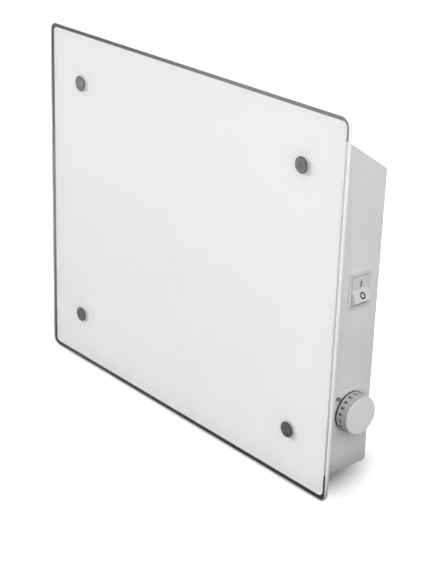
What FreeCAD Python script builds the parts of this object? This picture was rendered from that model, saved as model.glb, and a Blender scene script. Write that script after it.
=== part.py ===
import FreeCAD, Part
import math
import os
import re
import Sketcher

# Wall-mounted electric panel heater with a printed glass front.
# X runs to the control side, Y runs to the wall, Z runs up.
# The origin is the middle of the four wall screws, on the wall's surface.

# Driving dimensions, in millimetres and degrees
SIZES = {
    # Shared by many pieces
    "sheet": 1.0,
    "seat_gap": 0.3,
    "running_gap": 0.05,
    "overrun": 5.0,
    # Wall bracket and the hooks that carry the heater
    "wall_gap": 20.0,
    "bracket_inset": 73.5,
    "bracket_height": 150.0,
    "bracket_sheet": 1.5,
    "wall_screw_inset_x": 30.0,
    "wall_screw_inset_z": 25.0,
    "wall_screw_hole": 6.0,
    "hook_pitch": 120.0,
    "hook_tongue": 6.0,
    "hook_upstand": 8.0,
    "hook_thick": 2.5,
    "lift_travel": 12.0,
    "hook_slot_room": 0.6,
    # Casing, with a top that slopes down to the back
    "casing_depth": 56.0,
    "top_fall": 36.0,
    "bend_radius": 2.0,
    "edge_round": 0.8,
    "return_flange": 14.0,
    "vent_width": 6.0,
    "vent_length": 34.0,
    "vent_pitch": 14.0,
    "vent_margin": 25.5,
    # Front plate and its screws
    "plate_screw_inset": 43.5,
    "plate_screw_dia": 3.5,
    "plate_screw_head_dia": 7.0,
    "plate_screw_head": 1.8,
    "plate_screw_end": 3.0,
    "head_edge": 0.5,
    # Front glass, its caps, washers, spacers and weld nuts
    "glass_width": 420.0,
    "glass_height": 350.0,
    "glass_thick": 4.0,
    "glass_corner": 10.0,
    "glass_arris": 1.2,
    "glass_drop": 16.5,
    "glass_rise": 21.5,
    "glass_side": 16.5,
    "glass_hole": 7.2,
    "cap_inset": 52.5,
    "cap_dia": 14.6,
    "cap_head": 0.6,
    "cap_edge": 0.2,
    "stud_dia": 4.0,
    "stud_end": 1.0,
    "washer_dia": 12.8,
    "washer_thick": 0.2,
    "spacer_dia": 14.0,
    "spacer_height": 4.0,
    "stud_nut_across": 7.0,
    "stud_nut_height": 3.2,
    # Partition between the hot side and the wiring side
    "wiring_width": 48.5,
    "partition_gap": 0.5,
    "partition_flange": 11.0,
    "partition_flange_drop": 20.0,
    # Rivets that fix sheet pieces to the back wall
    "rivet_dia": 3.0,
    "rivet_head_dia": 6.0,
    "rivet_head": 1.0,
    "rivet_tail_dia": 4.6,
    "rivet_tail": 1.4,
    "rivet_inset": 14.0,
    # Heat shield behind the element
    "shield_inset": 70.5,
    "shield_height": 170.0,
    "shield_sheet": 0.6,
    "shield_standoff": 6.0,
    "shield_foot": 8.0,
    "shield_lift": 22.0,
    # Heating element: finned profile, rod, pins, bushings and end bracket
    "element_setback": 29.0,
    "element_height": 106.5,
    "element_left_gap": 13.0,
    "element_right_gap": 17.0,
    "element_hub_dia": 14.0,
    "element_fin": 1.6,
    "element_long_fin": 19.0,
    "element_short_fin": 12.0,
    "rod_dia": 8.0,
    "rod_end": 3.0,
    "pin_dia": 2.2,
    "pin_length": 8.0,
    "pin_pitch": 4.6,
    "bushing_flange_dia": 20.0,
    "bushing_flange": 4.0,
    "bushing_neck_dia": 13.6,
    "bushing_neck": 6.0,
    "end_bracket_inset": 55.5,
    "end_bracket_depth": 44.0,
    "end_bracket_height": 36.0,
    "end_bracket_foot": 14.0,
    "end_bracket_rivet_pitch": 22.0,
    # Overheat cut-out on the partition
    "cutout_rise": 40.0,
    "cutout_cup_dia": 16.0,
    "cutout_cup": 4.0,
    "cutout_plate": 0.6,
    "cutout_ear_length": 31.0,
    "cutout_ear_width": 8.0,
    "cutout_screw_pitch": 23.0,
    "cutout_body_dia": 15.0,
    "cutout_body": 9.0,
    "cutout_blade_pitch": 9.0,
    "small_screw_dia": 3.0,
    "small_screw_head_dia": 5.5,
    "small_screw_head": 2.0,
    "small_screw_end": 3.0,
    # Flat blades on switch, thermostat and cut-out
    "blade_length": 10.0,
    "blade_width": 6.3,
    "blade_thick": 0.8,
    # Terminal block on the back wall
    "block_inset": 24.5,
    "block_height": 92.5,
    "block_width": 38.0,
    "block_depth": 15.0,
    "block_tall": 18.0,
    "pole_spacing": 12.0,
    "wire_way": 3.4,
    "clamp_screw_dia": 3.2,
    "clamp_screw_length": 4.6,
    "clamp_screw_pitch": 10.0,
    # Earth stud, lug and nut
    "earth_height": 188.5,
    "earth_base_dia": 8.0,
    "earth_base": 1.0,
    "earth_stud_dia": 4.0,
    "earth_stud_length": 9.0,
    "earth_nut_across": 7.0,
    "earth_nut_height": 3.2,
    "lug_width": 9.0,
    "lug_thick": 0.8,
    "lug_above": 5.0,
    "lug_below": 11.0,
    "lug_barrel_dia": 3.4,
    "lug_barrel": 6.0,
    # Cable gland, inlet of the mains cord
    "gland_height": 18.5,
    "gland_flange_dia": 20.0,
    "gland_flange": 3.0,
    "gland_thread_dia": 16.0,
    "gland_thread": 10.0,
    "gland_bore": 8.4,
    "gland_nut_across": 20.0,
    "gland_nut_height": 4.0,
    # Rocker switch in the side wall
    "control_setback": 24.3,
    "switch_height": 172.3,
    "bezel_width": 26.2,
    "bezel_height": 33.8,
    "bezel_thick": 1.5,
    "bezel_edge": 0.5,
    "switch_width": 21.6,
    "switch_tall": 29.6,
    "switch_depth": 18.0,
    "switch_well": 12.0,
    "switch_opening_width": 20.2,
    "switch_opening_height": 27.4,
    "switch_well_height": 28.6,
    "switch_blade_pitch": 14.0,
    "rocker_width": 19.6,
    "rocker_radius": 13.9,
    "rocker_valley": 5.7,
    "rocker_hub": 4.0,
    "rocker_vee": 14.5,
    "rocker_back": 12.0,
    "rocker_tilt": 14.0,
    "rocker_pivot_depth": 3.9,
    "rocker_pin_dia": 3.0,
    "rocker_pin": 0.5,
    # Thermostat behind the side wall
    "knob_height": 57.5,
    "thermostat_width": 29.6,
    "thermostat_tall": 36.0,
    "thermostat_depth": 20.0,
    "thermostat_blade_pitch": 18.0,
    "bush_dia": 10.0,
    "bush_length": 6.0,
    "bush_nut_across": 14.0,
    "bush_nut_height": 2.5,
    "shaft_dia": 6.0,
    "shaft_depth": 12.0,
    # Knob and index pointer
    "knob_gap": 1.2,
    "knob_length": 13.1,
    "knob_base_dia": 37.6,
    "knob_front_dia": 35.7,
    "knob_wall": 2.0,
    "knob_roof": 2.4,
    "knob_edge": 0.8,
    "knob_hub_dia": 10.0,
    "knob_hub_gap": 0.6,
    "pointer_angle": 135.6,
    "pointer_radius": 22.9,
    "pointer_head_dia": 3.6,
    "pointer_head": 3.0,
    "pointer_bar_width": 2.0,
    "pointer_bar": 1.8,
    "pointer_clear": 0.6,
    "pointer_pin_dia": 2.4,
    "pointer_pin": 3.0,
    # Inner leads
    "lead_dia": 2.2,
    "lead_bend": 6.0,
    "lead_seat": 3.0,
    "lead_reach": 8.0,
    "lead_front_lane": 40.0,
    "lead_back_lane": 7.5,
    "lead_inner_lane": 8.0,
    "lead_outer_lane": 11.0,
}

# Sizes that follow from the driving ones
DERIVED = {
    "casing_width": "glass_width - 2 * glass_side",
    "casing_front_height": "glass_height - glass_drop - glass_rise",
    "casing_back_height": "casing_front_height - top_fall",
    "screw_height": "glass_height / 2 - glass_drop",
    "bracket_width": "casing_width - 2 * bracket_inset",
    "wall_screw_pitch_x": "bracket_width - 2 * wall_screw_inset_x",
    "wall_screw_pitch_z": "bracket_height - 2 * wall_screw_inset_z",
    "plate_screw_pitch": "casing_width - 2 * plate_screw_inset",
    "cap_pitch_x": "glass_width - 2 * cap_inset",
    "cap_pitch_z": "glass_height - 2 * cap_inset",
    "partition_x": "casing_width / 2 - wiring_width",
    "shield_width": "casing_width - 2 * shield_inset",
    "end_bracket_x": "end_bracket_inset - casing_width / 2",
    "element_start": "end_bracket_x + element_left_gap",
    "element_length": "partition_x - element_right_gap - element_start",
    "cutout_height": "switch_height + cutout_rise",
    "block_x": "casing_width / 2 - block_inset",
}

VECTOR = FreeCAD.Vector
doc = FreeCAD.newDocument("glass_panel_heater")
dims = doc.addObject("Spreadsheet::Sheet", "dims")
for row, (alias, value) in enumerate(SIZES.items(), start=1):
    dims.set(f"A{row}", alias)
    dims.set(f"B{row}", str(value))
    dims.setAlias(f"B{row}", alias)
doc.recompute()

# Places shared by several pieces, as formulas of the driving dimensions
CASING_BACK = "(-wall_gap)"
INNER_BACK = "(-wall_gap - sheet)"
CASING_FRONT = "(-wall_gap - casing_depth)"
PLATE_FRONT = "(-wall_gap - casing_depth - sheet)"
GLASS_BACK = "(-wall_gap - casing_depth - sheet - spacer_height)"
GLASS_FRONT = "(-wall_gap - casing_depth - sheet - spacer_height - glass_thick)"
CASING_BOTTOM = "(-screw_height)"
INNER_BOTTOM = "(sheet - screw_height)"
GLASS_MIDDLE = "(glass_height / 2 - glass_drop - screw_height)"
PLATE_MIDDLE = "(casing_front_height / 2 - screw_height)"
SIDE = "(casing_width / 2)"
INNER_SIDE = "(casing_width / 2 - sheet)"
SLOPE = "((casing_front_height - casing_back_height) / casing_depth)"
SLANT = f"sqrt(1 + {SLOPE} * {SLOPE})"
CONTROL_Y = "(-wall_gap - control_setback)"
SWITCH_Z = "(switch_height - screw_height)"
KNOB_Z = "(knob_height - screw_height)"
ELEMENT_Y = "(-wall_gap - element_setback)"
ELEMENT_Z = "(element_height - screw_height)"
CUTOUT_Z = "(cutout_height - screw_height)"
BLOCK_Z = "(block_height - screw_height)"
EARTH_X = "(block_x - pole_spacing)"
EARTH_Z = "(earth_height - screw_height)"
GLAND_Z = "(gland_height - screw_height)"
PARTITION_FACE = "(partition_x + sheet)"

NODES = []


def formula(text):
    """Turns plain size names into references to the sheet's cells."""
    def cell(found):
        word = found.group(0)
        if word in DERIVED:
            return f"({formula(DERIVED[word])})"
        return f"dims.{word}" if word in SIZES else word
    return re.sub(r"[a-z]\w*", cell, text)


def bind(thing, path, text):
    """Ties one property of a piece to a formula."""
    thing.setExpression(path, formula(text))


def place(thing, x, y, z):
    """Ties a piece's position to three formulas."""
    for axis, text in zip("xyz", (x, y, z)):
        bind(thing, f"Placement.Base.{axis}", text)


def node(thing, label):
    """Names a finished sub-part."""
    thing.Label = label
    NODES.append(thing)
    return thing


def mid(centre, extent):
    """Lower end of an extent that lies evenly about a centre."""
    return f"{centre} - ({extent}) / 2"


def box(name, extents, corner):
    """Block given by its three extents and its lowest corner."""
    piece = doc.addObject("Part::Box", name)
    for path, text in zip(("Length", "Width", "Height"), extents):
        bind(piece, path, text)
    place(piece, *corner)
    return piece


ROD_TURNS = {
    "x": FreeCAD.Rotation(VECTOR(0, 1, 0), 90),
    "y": FreeCAD.Rotation(VECTOR(1, 0, 0), -90),
    "z": FreeCAD.Rotation(),
}


def rod(name, axis, diameter, length, start):
    """Round bar along an axis, from its starting point."""
    piece = doc.addObject("Part::Cylinder", name)
    piece.Placement = FreeCAD.Placement(VECTOR(), ROD_TURNS[axis])
    bind(piece, "Radius", f"({diameter}) / 2")
    bind(piece, "Height", length)
    place(piece, *start)
    return piece


def drill(name, axis, diameter, spot):
    """Round cutter along an axis, through a wall at a point."""
    start = [f"{text} - overrun" if way == axis else text for way, text in zip("xyz", spot)]
    return rod(name, axis, diameter, "2 * overrun", start)


def fuse(name, pieces):
    """One solid from several that meet."""
    piece = doc.addObject("Part::MultiFuse", name)
    piece.Shapes = pieces
    return piece


def group(name, pieces):
    """Several solids kept apart under one name."""
    piece = doc.addObject("Part::Compound", name)
    piece.Links = pieces
    return piece


def cut(name, base, tools):
    """A solid with other shapes taken away."""
    piece = doc.addObject("Part::Cut", name)
    piece.Base = base
    piece.Tool = tools[0] if len(tools) == 1 else group(f"{name}_tools", tools)
    return piece


def copies(name, pattern, places):
    """Like pieces, one at each place."""
    links = []
    for number, spot in enumerate(places, start=1):
        link = doc.addObject("App::Link", f"{name}_{number}")
        link.LinkedObject = pattern
        place(link, *spot)
        links.append(link)
    return group(name, links)


def plane(body, role):
    """Origin plane of a body."""
    return next(feature for feature in body.Origin.OriginFeatures if feature.Role == role)


def sketch_on(body, name, role, offset="0"):
    """Empty sketch on one of a body's origin planes, moved along its normal."""
    sketch = body.newObject("Sketcher::SketchObject", name)
    sketch.AttachmentSupport = [(plane(body, role), "")]
    sketch.MapMode = "FlatFace"
    bind(sketch, "AttachmentOffset.Base.z", offset)
    return sketch


def pin_down(sketch, geometry, point, spot):
    """Ties one point of a sketch to two formulas."""
    for kind, text in zip(("DistanceX", "DistanceY"), spot):
        index = sketch.addConstraint(Sketcher.Constraint(kind, -1, 1, geometry, point, 1.0))
        bind(sketch, f"Constraints[{index}]", text)


def outline(sketch, points):
    """Closed outline of straight edges."""
    first = sketch.GeometryCount
    count = len(points)
    for number in range(count):
        start = VECTOR(number, number ** 2, 0)
        end = VECTOR(number + 1, (number + 1) ** 2, 0)
        sketch.addGeometry(Part.LineSegment(start, end))
    for number in range(count):
        following = first + (number + 1) % count
        sketch.addConstraint(Sketcher.Constraint("Coincident", first + number, 2, following, 1))
    for number, spot in enumerate(points):
        pin_down(sketch, first + number, 1, spot)


def circle(sketch, spot, diameter):
    """Round outline about a point."""
    index = sketch.addGeometry(Part.Circle(VECTOR(1, 1, 0), VECTOR(0, 0, 1), 1.0))
    pin_down(sketch, index, 3, spot)
    constraint = sketch.addConstraint(Sketcher.Constraint("Diameter", index, 1.0))
    bind(sketch, f"Constraints[{constraint}]", diameter)


def rectangle(width, height, u="0", v="0"):
    """Corners of a rectangle about a point."""
    left, right = f"{u} - ({width}) / 2", f"{u} + ({width}) / 2"
    low, high = f"{v} - ({height}) / 2", f"{v} + ({height}) / 2"
    return [(left, low), (right, low), (right, high), (left, high)]


def hexagon(across):
    """Corners of a regular hexagon, by its width across flats."""
    half, short, tall = f"{across} / 2", f"{across} / sqrt(12)", f"{across} / sqrt(3)"
    upper = [(half, short), ("0", tall), (f"-{half}", short)]
    lower = [(f"-{half}", f"-{short}"), ("0", f"-{tall}"), (half, f"-{short}")]
    return upper + lower


def pad(body, sketch, length, symmetric=False):
    """Material added along a sketch's normal."""
    feature = body.newObject("PartDesign::Pad", f"{sketch.Name}_pad")
    feature.Profile = sketch
    feature.SideType = "Symmetric" if symmetric else "One side"
    bind(feature, "Length", length)
    return feature


def pocket(body, sketch, length, symmetric=False):
    """Material taken away against a sketch's normal."""
    feature = body.newObject("PartDesign::Pocket", f"{sketch.Name}_pocket")
    feature.Profile = sketch
    feature.SideType = "Symmetric" if symmetric else "One side"
    bind(feature, "Length", length)
    return feature


def rounded(body, kind, base, chosen, path, text):
    """Fillet or chamfer on the edges that a test picks out."""
    doc.recompute()
    edges = [f"Edge{number}" for number, edge in enumerate(base.Shape.Edges, start=1) if chosen(edge)]
    feature = body.newObject(f"PartDesign::{kind}", f"{base.Name}_{kind.lower()}")
    feature.Base = (base, edges)
    bind(feature, path, text)
    return feature


def turned(name, axis, points):
    """Round piece turned about X or Y, from (distance along the axis, radius) points."""
    body = doc.addObject("PartDesign::Body", name)
    sketch = sketch_on(body, f"{name}_section", {"x": "XZ_Plane", "y": "YZ_Plane"}[axis])
    outline(sketch, points)
    feature = body.newObject("PartDesign::Revolution", f"{name}_turn")
    feature.Profile = sketch
    feature.ReferenceAxis = (sketch, ["H_Axis"])
    return body


def hex_nut(name, across, height, bore, role):
    """Hexagon nut with a plain bore, standing on an origin plane."""
    body = doc.addObject("PartDesign::Body", name)
    sketch = sketch_on(body, f"{name}_section", role)
    outline(sketch, hexagon(across))
    circle(sketch, ("0", "0"), bore)
    pad(body, sketch, height)
    return body


MATCH_SHARE = 0.000001


def same(first, second):
    """Whether two lengths agree, as a small share of the glass's width."""
    return math.isclose(first, second, abs_tol=MATCH_SHARE * dims.get("glass_width"))


def runs_along(edge, axis):
    """Whether an edge is straight and parallel to an axis."""
    straight = edge.Curve.TypeId == "Part::GeomLine"
    return straight and same(abs(edge.Curve.Direction.dot(axis)), 1)


# Wall bracket: a bent steel plate with four screw holes and two side flanges,
# each flange ending in an upper and a lower hook
def make_wall_bracket():
    body = doc.addObject("PartDesign::Body", "bracket_body")
    face = sketch_on(body, "bracket_face", "XZ_Plane")
    outline(face, rectangle("bracket_width", "bracket_height"))
    for side in ("-", ""):
        for level in ("-", ""):
            spot = (f"{side}wall_screw_pitch_x / 2", f"{level}wall_screw_pitch_z / 2")
            circle(face, spot, "wall_screw_hole")
    pad(body, face, "bracket_sheet")
    front = "seat_gap - wall_gap"
    inner = "-wall_gap - sheet - seat_gap"
    outer = f"{inner} - hook_thick"
    points = [("0", "-bracket_height / 2"), ("0", "bracket_height / 2"), (front, "bracket_height / 2")]
    for top in ("hook_pitch / 2", "-hook_pitch / 2"):
        crest = f"{top} + hook_upstand"
        root = f"{top} - hook_tongue"
        points += [(front, top), (inner, top), (inner, crest), (outer, crest), (outer, root), (front, root)]
    points.append((front, "-bracket_height / 2"))
    flange = sketch_on(body, "bracket_flange", "YZ_Plane", "bracket_width / 2 - bracket_sheet")
    outline(flange, points)
    flange_pad = pad(body, flange, "bracket_sheet")
    mirrored = body.newObject("PartDesign::Mirrored", "bracket_flanges")
    mirrored.Originals = [flange_pad]
    mirrored.MirrorPlane = (plane(body, "YZ_Plane"), [""])
    body.Tip = mirrored
    node(body, "wall_bracket")


def casing_top(y, below="0"):
    """Height of the sloping top above a depth, lowered square to its surface."""
    drop = f"({SLOPE} * ({y} - {CASING_FRONT}) + ({below}) * {SLANT})"
    return f"casing_front_height - screw_height - {drop}"


HOOK_X = "(bracket_width / 2 - bracket_sheet / 2)"
RIVET_SIDE_X = "(shield_width / 2 + shield_foot / 2)"
SHIELD_BOTTOM = "(shield_lift - screw_height)"
SHIELD_RIVETS = [
    (f"{side}{RIVET_SIDE_X}", f"{SHIELD_BOTTOM} + {height}")
    for side in ("-", "")
    for height in ("rivet_inset", "shield_height - rivet_inset")
]
PARTITION_RIVET_X = "(partition_x - partition_flange / 2)"
PARTITION_LOW = f"({INNER_BOTTOM} + partition_flange_drop)"
PARTITION_HIGH = "(casing_back_height - screw_height - partition_flange_drop)"
PARTITION_RIVETS = [
    (PARTITION_RIVET_X, f"{PARTITION_LOW} + rivet_inset"),
    (PARTITION_RIVET_X, f"({PARTITION_LOW} + {PARTITION_HIGH}) / 2"),
    (PARTITION_RIVET_X, f"{PARTITION_HIGH} - rivet_inset"),
]
END_BRACKET_RIVETS = [
    ("(end_bracket_x - sheet - end_bracket_foot / 2)", f"{ELEMENT_Z} {side} end_bracket_rivet_pitch / 2")
    for side in ("-", "+")
]
RIVETS = {
    "shield_rivets": (SHIELD_RIVETS, "shield_sheet"),
    "partition_rivets": (PARTITION_RIVETS, "sheet"),
    "end_bracket_rivets": (END_BRACKET_RIVETS, "sheet"),
}
RIVET_HOLE = "rivet_dia + 2 * running_gap"
SMALL_SCREW_HOLE = "small_screw_dia + 2 * running_gap"
PLATE_SCREW_HOLE = "plate_screw_dia + 2 * running_gap"
BUSHING_HOLE = "bushing_neck_dia + 2 * running_gap"
BLOCK_SCREWS = [(f"block_x {side} pole_spacing / 2", BLOCK_Z) for side in ("-", "+")]


def vents(name, y, z, slope_turn):
    """Row of long vent cutters through one wall, spread evenly across the casing."""
    cutters = []
    span = dims.get("glass_width") - 2 * (dims.get("glass_side") + dims.get("vent_margin"))
    count = round(span / dims.get("vent_pitch")) + 1
    for number in range(count):
        x = f"vent_pitch * ({number} - {count - 1} / 2) - vent_width / 2"
        cutter = box(f"{name}_{number}", ("vent_width", "vent_length", "2 * overrun"), (x, y, z))
        if slope_turn:
            cutter.Placement.Rotation = FreeCAD.Rotation(VECTOR(1, 0, 0), 0)
            bind(cutter, "Placement.Rotation.Angle", f"-atan({SLOPE})")
        cutters.append(cutter)
    return cutters


# Casing: a welded box of white sheet steel, open at the front inside a return flange, with
# vents in the bottom and in the sloping top, and cut-outs for the controls and the hooks
def make_casing():
    body = doc.addObject("PartDesign::Body", "casing_body")
    section = sketch_on(body, "casing_section", "YZ_Plane")
    corners = [
        (CASING_FRONT, CASING_BOTTOM),
        (CASING_BACK, CASING_BOTTOM),
        (CASING_BACK, "casing_back_height - screw_height"),
        (CASING_FRONT, "casing_front_height - screw_height"),
    ]
    outline(section, corners)
    block = pad(body, section, "casing_width", symmetric=True)
    back = -dims.get("wall_gap")
    across = VECTOR(1, 0, 0)
    side = dims.get("glass_width") / 2 - dims.get("glass_side")

    def back_bend(edge):
        return runs_along(edge, across) and same(edge.CenterOfMass.y, back)

    bends = rounded(body, "Fillet", block, back_bend, "Radius", "bend_radius + sheet")

    def side_rim(edge):
        return same(abs(edge.BoundBox.XMin), side) and same(edge.BoundBox.XLength, 0)

    rounded(body, "Fillet", bends, side_rim, "Radius", "edge_round")
    room = sketch_on(body, "casing_room", "YZ_Plane")
    room_front = f"({CASING_FRONT} + sheet)"
    room_corners = [
        (room_front, INNER_BOTTOM),
        (INNER_BACK, INNER_BOTTOM),
        (INNER_BACK, casing_top(INNER_BACK, "sheet")),
        (room_front, casing_top(room_front, "sheet")),
    ]
    outline(room, room_corners)
    hollow = pocket(body, room, "casing_width - 2 * sheet", symmetric=True)

    def inner_bend(edge):
        return runs_along(edge, across) and same(edge.CenterOfMass.y, back - dims.get("sheet"))

    rounded(body, "Fillet", hollow, inner_bend, "Radius", "bend_radius")
    mouth = sketch_on(body, "casing_mouth", "XZ_Plane", "wall_gap + casing_depth")
    mouth_width = "casing_width - 2 * return_flange"
    mouth_height = "casing_front_height - 2 * return_flange"
    outline(mouth, rectangle(mouth_width, mouth_height, "0", PLATE_MIDDLE))
    pocket(body, mouth, "2 * sheet")

    middle = f"({CASING_FRONT} + casing_depth / 2)"
    tools = vents("floor_vent", f"{middle} - vent_length / 2", f"{CASING_BOTTOM} - overrun", False)
    vent_start = f"({middle} - vent_length / 2 / {SLANT})"
    vent_y = f"{vent_start} - overrun * {SLOPE} / {SLANT}"
    vent_z = f"{casing_top(vent_start)} - overrun / {SLANT}"
    tools += vents("top_vent", vent_y, vent_z, True)
    slot_width = "bracket_sheet + 2 * hook_slot_room"
    slot_height = "hook_tongue + lift_travel + 2 * seat_gap"
    for number, x in enumerate((HOOK_X, f"-{HOOK_X}")):
        for level, top in enumerate(("hook_pitch / 2", "-hook_pitch / 2")):
            low = f"{top} - hook_tongue - lift_travel - seat_gap"
            spot = (mid(x, slot_width), f"{INNER_BACK} - overrun", low)
            tools.append(box(f"hook_slot_{number}{level}", (slot_width, "2 * overrun", slot_height), spot))
    switch_hole = ("2 * overrun", "switch_width + 2 * seat_gap", "switch_tall + 2 * seat_gap")
    switch_spot = (f"{SIDE} - overrun", mid(CONTROL_Y, switch_hole[1]), mid(SWITCH_Z, switch_hole[2]))
    tools.append(box("switch_hole", switch_hole, switch_spot))
    tools.append(drill("bush_hole", "x", "bush_dia + 2 * seat_gap", (SIDE, CONTROL_Y, KNOB_Z)))
    pin_y = f"{CONTROL_Y} + pointer_radius * cos(pointer_angle * 1 deg)"
    pin_z = f"{KNOB_Z} + pointer_radius * sin(pointer_angle * 1 deg)"
    tools.append(drill("pointer_hole", "x", "pointer_pin_dia + 2 * running_gap", (SIDE, pin_y, pin_z)))
    gland_hole = "gland_thread_dia + 2 * running_gap"
    tools.append(drill("gland_hole", "y", gland_hole, ("block_x", INNER_BACK, GLAND_Z)))
    for name, (spots, thick) in RIVETS.items():
        for number, (x, z) in enumerate(spots):
            tools.append(drill(f"{name}_hole_{number}", "y", RIVET_HOLE, (x, INNER_BACK, z)))
    for number, (x, z) in enumerate(BLOCK_SCREWS):
        tools.append(drill(f"block_hole_{number}", "y", SMALL_SCREW_HOLE, (x, INNER_BACK, z)))
    for number, (x, z) in enumerate(PLATE_SCREWS):
        tools.append(drill(f"flange_hole_{number}", "y", PLATE_SCREW_HOLE, (x, CASING_FRONT, z)))
    node(cut("casing_shell", body, tools), "casing")


PLATE_EDGE_X = "(casing_width / 2 - return_flange / 2)"
PLATE_EDGE_Z = "(casing_front_height / 2 - return_flange / 2)"
PLATE_SCREWS = [
    (f"{share} * plate_screw_pitch / 2", f"{PLATE_MIDDLE} {level} {PLATE_EDGE_Z}")
    for level in ("-", "+")
    for share in ("-1", "0", "1")
]
PLATE_SCREWS += [(f"{side}{PLATE_EDGE_X}", PLATE_MIDDLE) for side in ("-", "")]
CAP_SPOTS = [
    (f"{side}cap_pitch_x / 2", f"{GLASS_MIDDLE} {level} cap_pitch_z / 2")
    for side in ("-", "")
    for level in ("-", "+")
]


# Front plate: flat steel lid of the casing, screwed to the return flange, which carries the glass
def make_front_plate():
    body = doc.addObject("PartDesign::Body", "plate_body")
    face = sketch_on(body, "plate_face", "XZ_Plane")
    outline(face, rectangle("casing_width", "casing_front_height", "0", PLATE_MIDDLE))
    for x, z in CAP_SPOTS:
        circle(face, (x, z), "stud_dia + 2 * seat_gap")
    for x, z in PLATE_SCREWS:
        circle(face, (x, z), PLATE_SCREW_HOLE)
    pad(body, face, "sheet")
    place(body, "0", CASING_FRONT, "0")
    node(body, "front_plate")
    screw = turned("plate_screw", "y", [
        ("-plate_screw_head", "0"),
        ("-plate_screw_head", "plate_screw_head_dia / 2 - head_edge"),
        ("head_edge - plate_screw_head", "plate_screw_head_dia / 2"),
        ("0", "plate_screw_head_dia / 2"),
        ("0", "plate_screw_dia / 2"),
        ("2 * sheet + plate_screw_end", "plate_screw_dia / 2"),
        ("2 * sheet + plate_screw_end", "0"),
    ])
    spots = [(x, PLATE_FRONT, z) for x, z in PLATE_SCREWS]
    node(copies("plate_screw_set", screw, spots), "front_plate_screws")


# Front glass: toughened sheet with rounded corners, ground edges and four holes
def make_front_glass():
    body = doc.addObject("PartDesign::Body", "glass_body")
    face = sketch_on(body, "glass_face", "XZ_Plane")
    outline(face, rectangle("glass_width", "glass_height"))
    for side in ("-", ""):
        for level in ("-", ""):
            circle(face, (f"{side}cap_pitch_x / 2", f"{level}cap_pitch_z / 2"), "glass_hole")
    slab = pad(body, face, "glass_thick")
    half_width = dims.get("glass_width") / 2
    half_height = dims.get("glass_height") / 2
    hole_band = dims.get("cap_inset") - dims.get("glass_hole")

    def corner(edge):
        return runs_along(edge, VECTOR(0, 1, 0)) and same(abs(edge.CenterOfMass.x), half_width)

    corners = rounded(body, "Fillet", slab, corner, "Radius", "glass_corner")

    def rim(edge):
        box_of = edge.BoundBox
        beside = abs(box_of.Center.x) > half_width - hole_band
        above = abs(box_of.Center.z) > half_height - hole_band
        return same(box_of.YLength, 0) and (beside or above)

    rounded(body, "Chamfer", corners, rim, "Size", "glass_arris")
    place(body, "0", GLASS_BACK, GLASS_MIDDLE)
    node(body, "front_glass")


# Glass fixings: flat steel caps on threaded shanks, clear washers under them, soft spacers
# whose sleeves line the holes, and nuts welded to the back of the front plate
def make_glass_fixings():
    head_front = "(-washer_thick - cap_head)"
    stud_tip = "glass_thick + spacer_height + sheet + stud_nut_height + stud_end"
    cap = turned("cap_screw", "y", [
        (head_front, "0"),
        (head_front, "cap_dia / 2 - cap_edge"),
        (f"{head_front} + cap_edge", "cap_dia / 2"),
        ("-washer_thick", "cap_dia / 2"),
        ("-washer_thick", "stud_dia / 2"),
        (stud_tip, "stud_dia / 2"),
        (stud_tip, "0"),
    ])
    node(copies("cap_set", cap, [(x, GLASS_FRONT, z) for x, z in CAP_SPOTS]), "glass_caps")
    bore = "stud_dia / 2 + running_gap"
    washer = turned("cap_washer", "y", [
        ("-washer_thick", bore),
        ("-washer_thick", "washer_dia / 2"),
        ("0", "washer_dia / 2"),
        ("0", bore),
    ])
    node(copies("washer_set", washer, [(x, GLASS_FRONT, z) for x, z in CAP_SPOTS]), "cap_washers")
    spacer = turned("glass_spacer", "y", [
        ("seat_gap", bore),
        ("seat_gap", "glass_hole / 2 - running_gap"),
        ("glass_thick", "glass_hole / 2 - running_gap"),
        ("glass_thick", "spacer_dia / 2"),
        ("glass_thick + spacer_height", "spacer_dia / 2"),
        ("glass_thick + spacer_height", bore),
    ])
    node(copies("spacer_set", spacer, [(x, GLASS_FRONT, z) for x, z in CAP_SPOTS]), "glass_spacers")
    nut = hex_nut("stud_nut", "stud_nut_across", "stud_nut_height", f"2 * ({bore})", "XZ_Plane")
    spots = [(x, f"{CASING_FRONT} + stud_nut_height", z) for x, z in CAP_SPOTS]
    node(copies("stud_nut_set", nut, spots), "weld_nuts")


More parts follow.
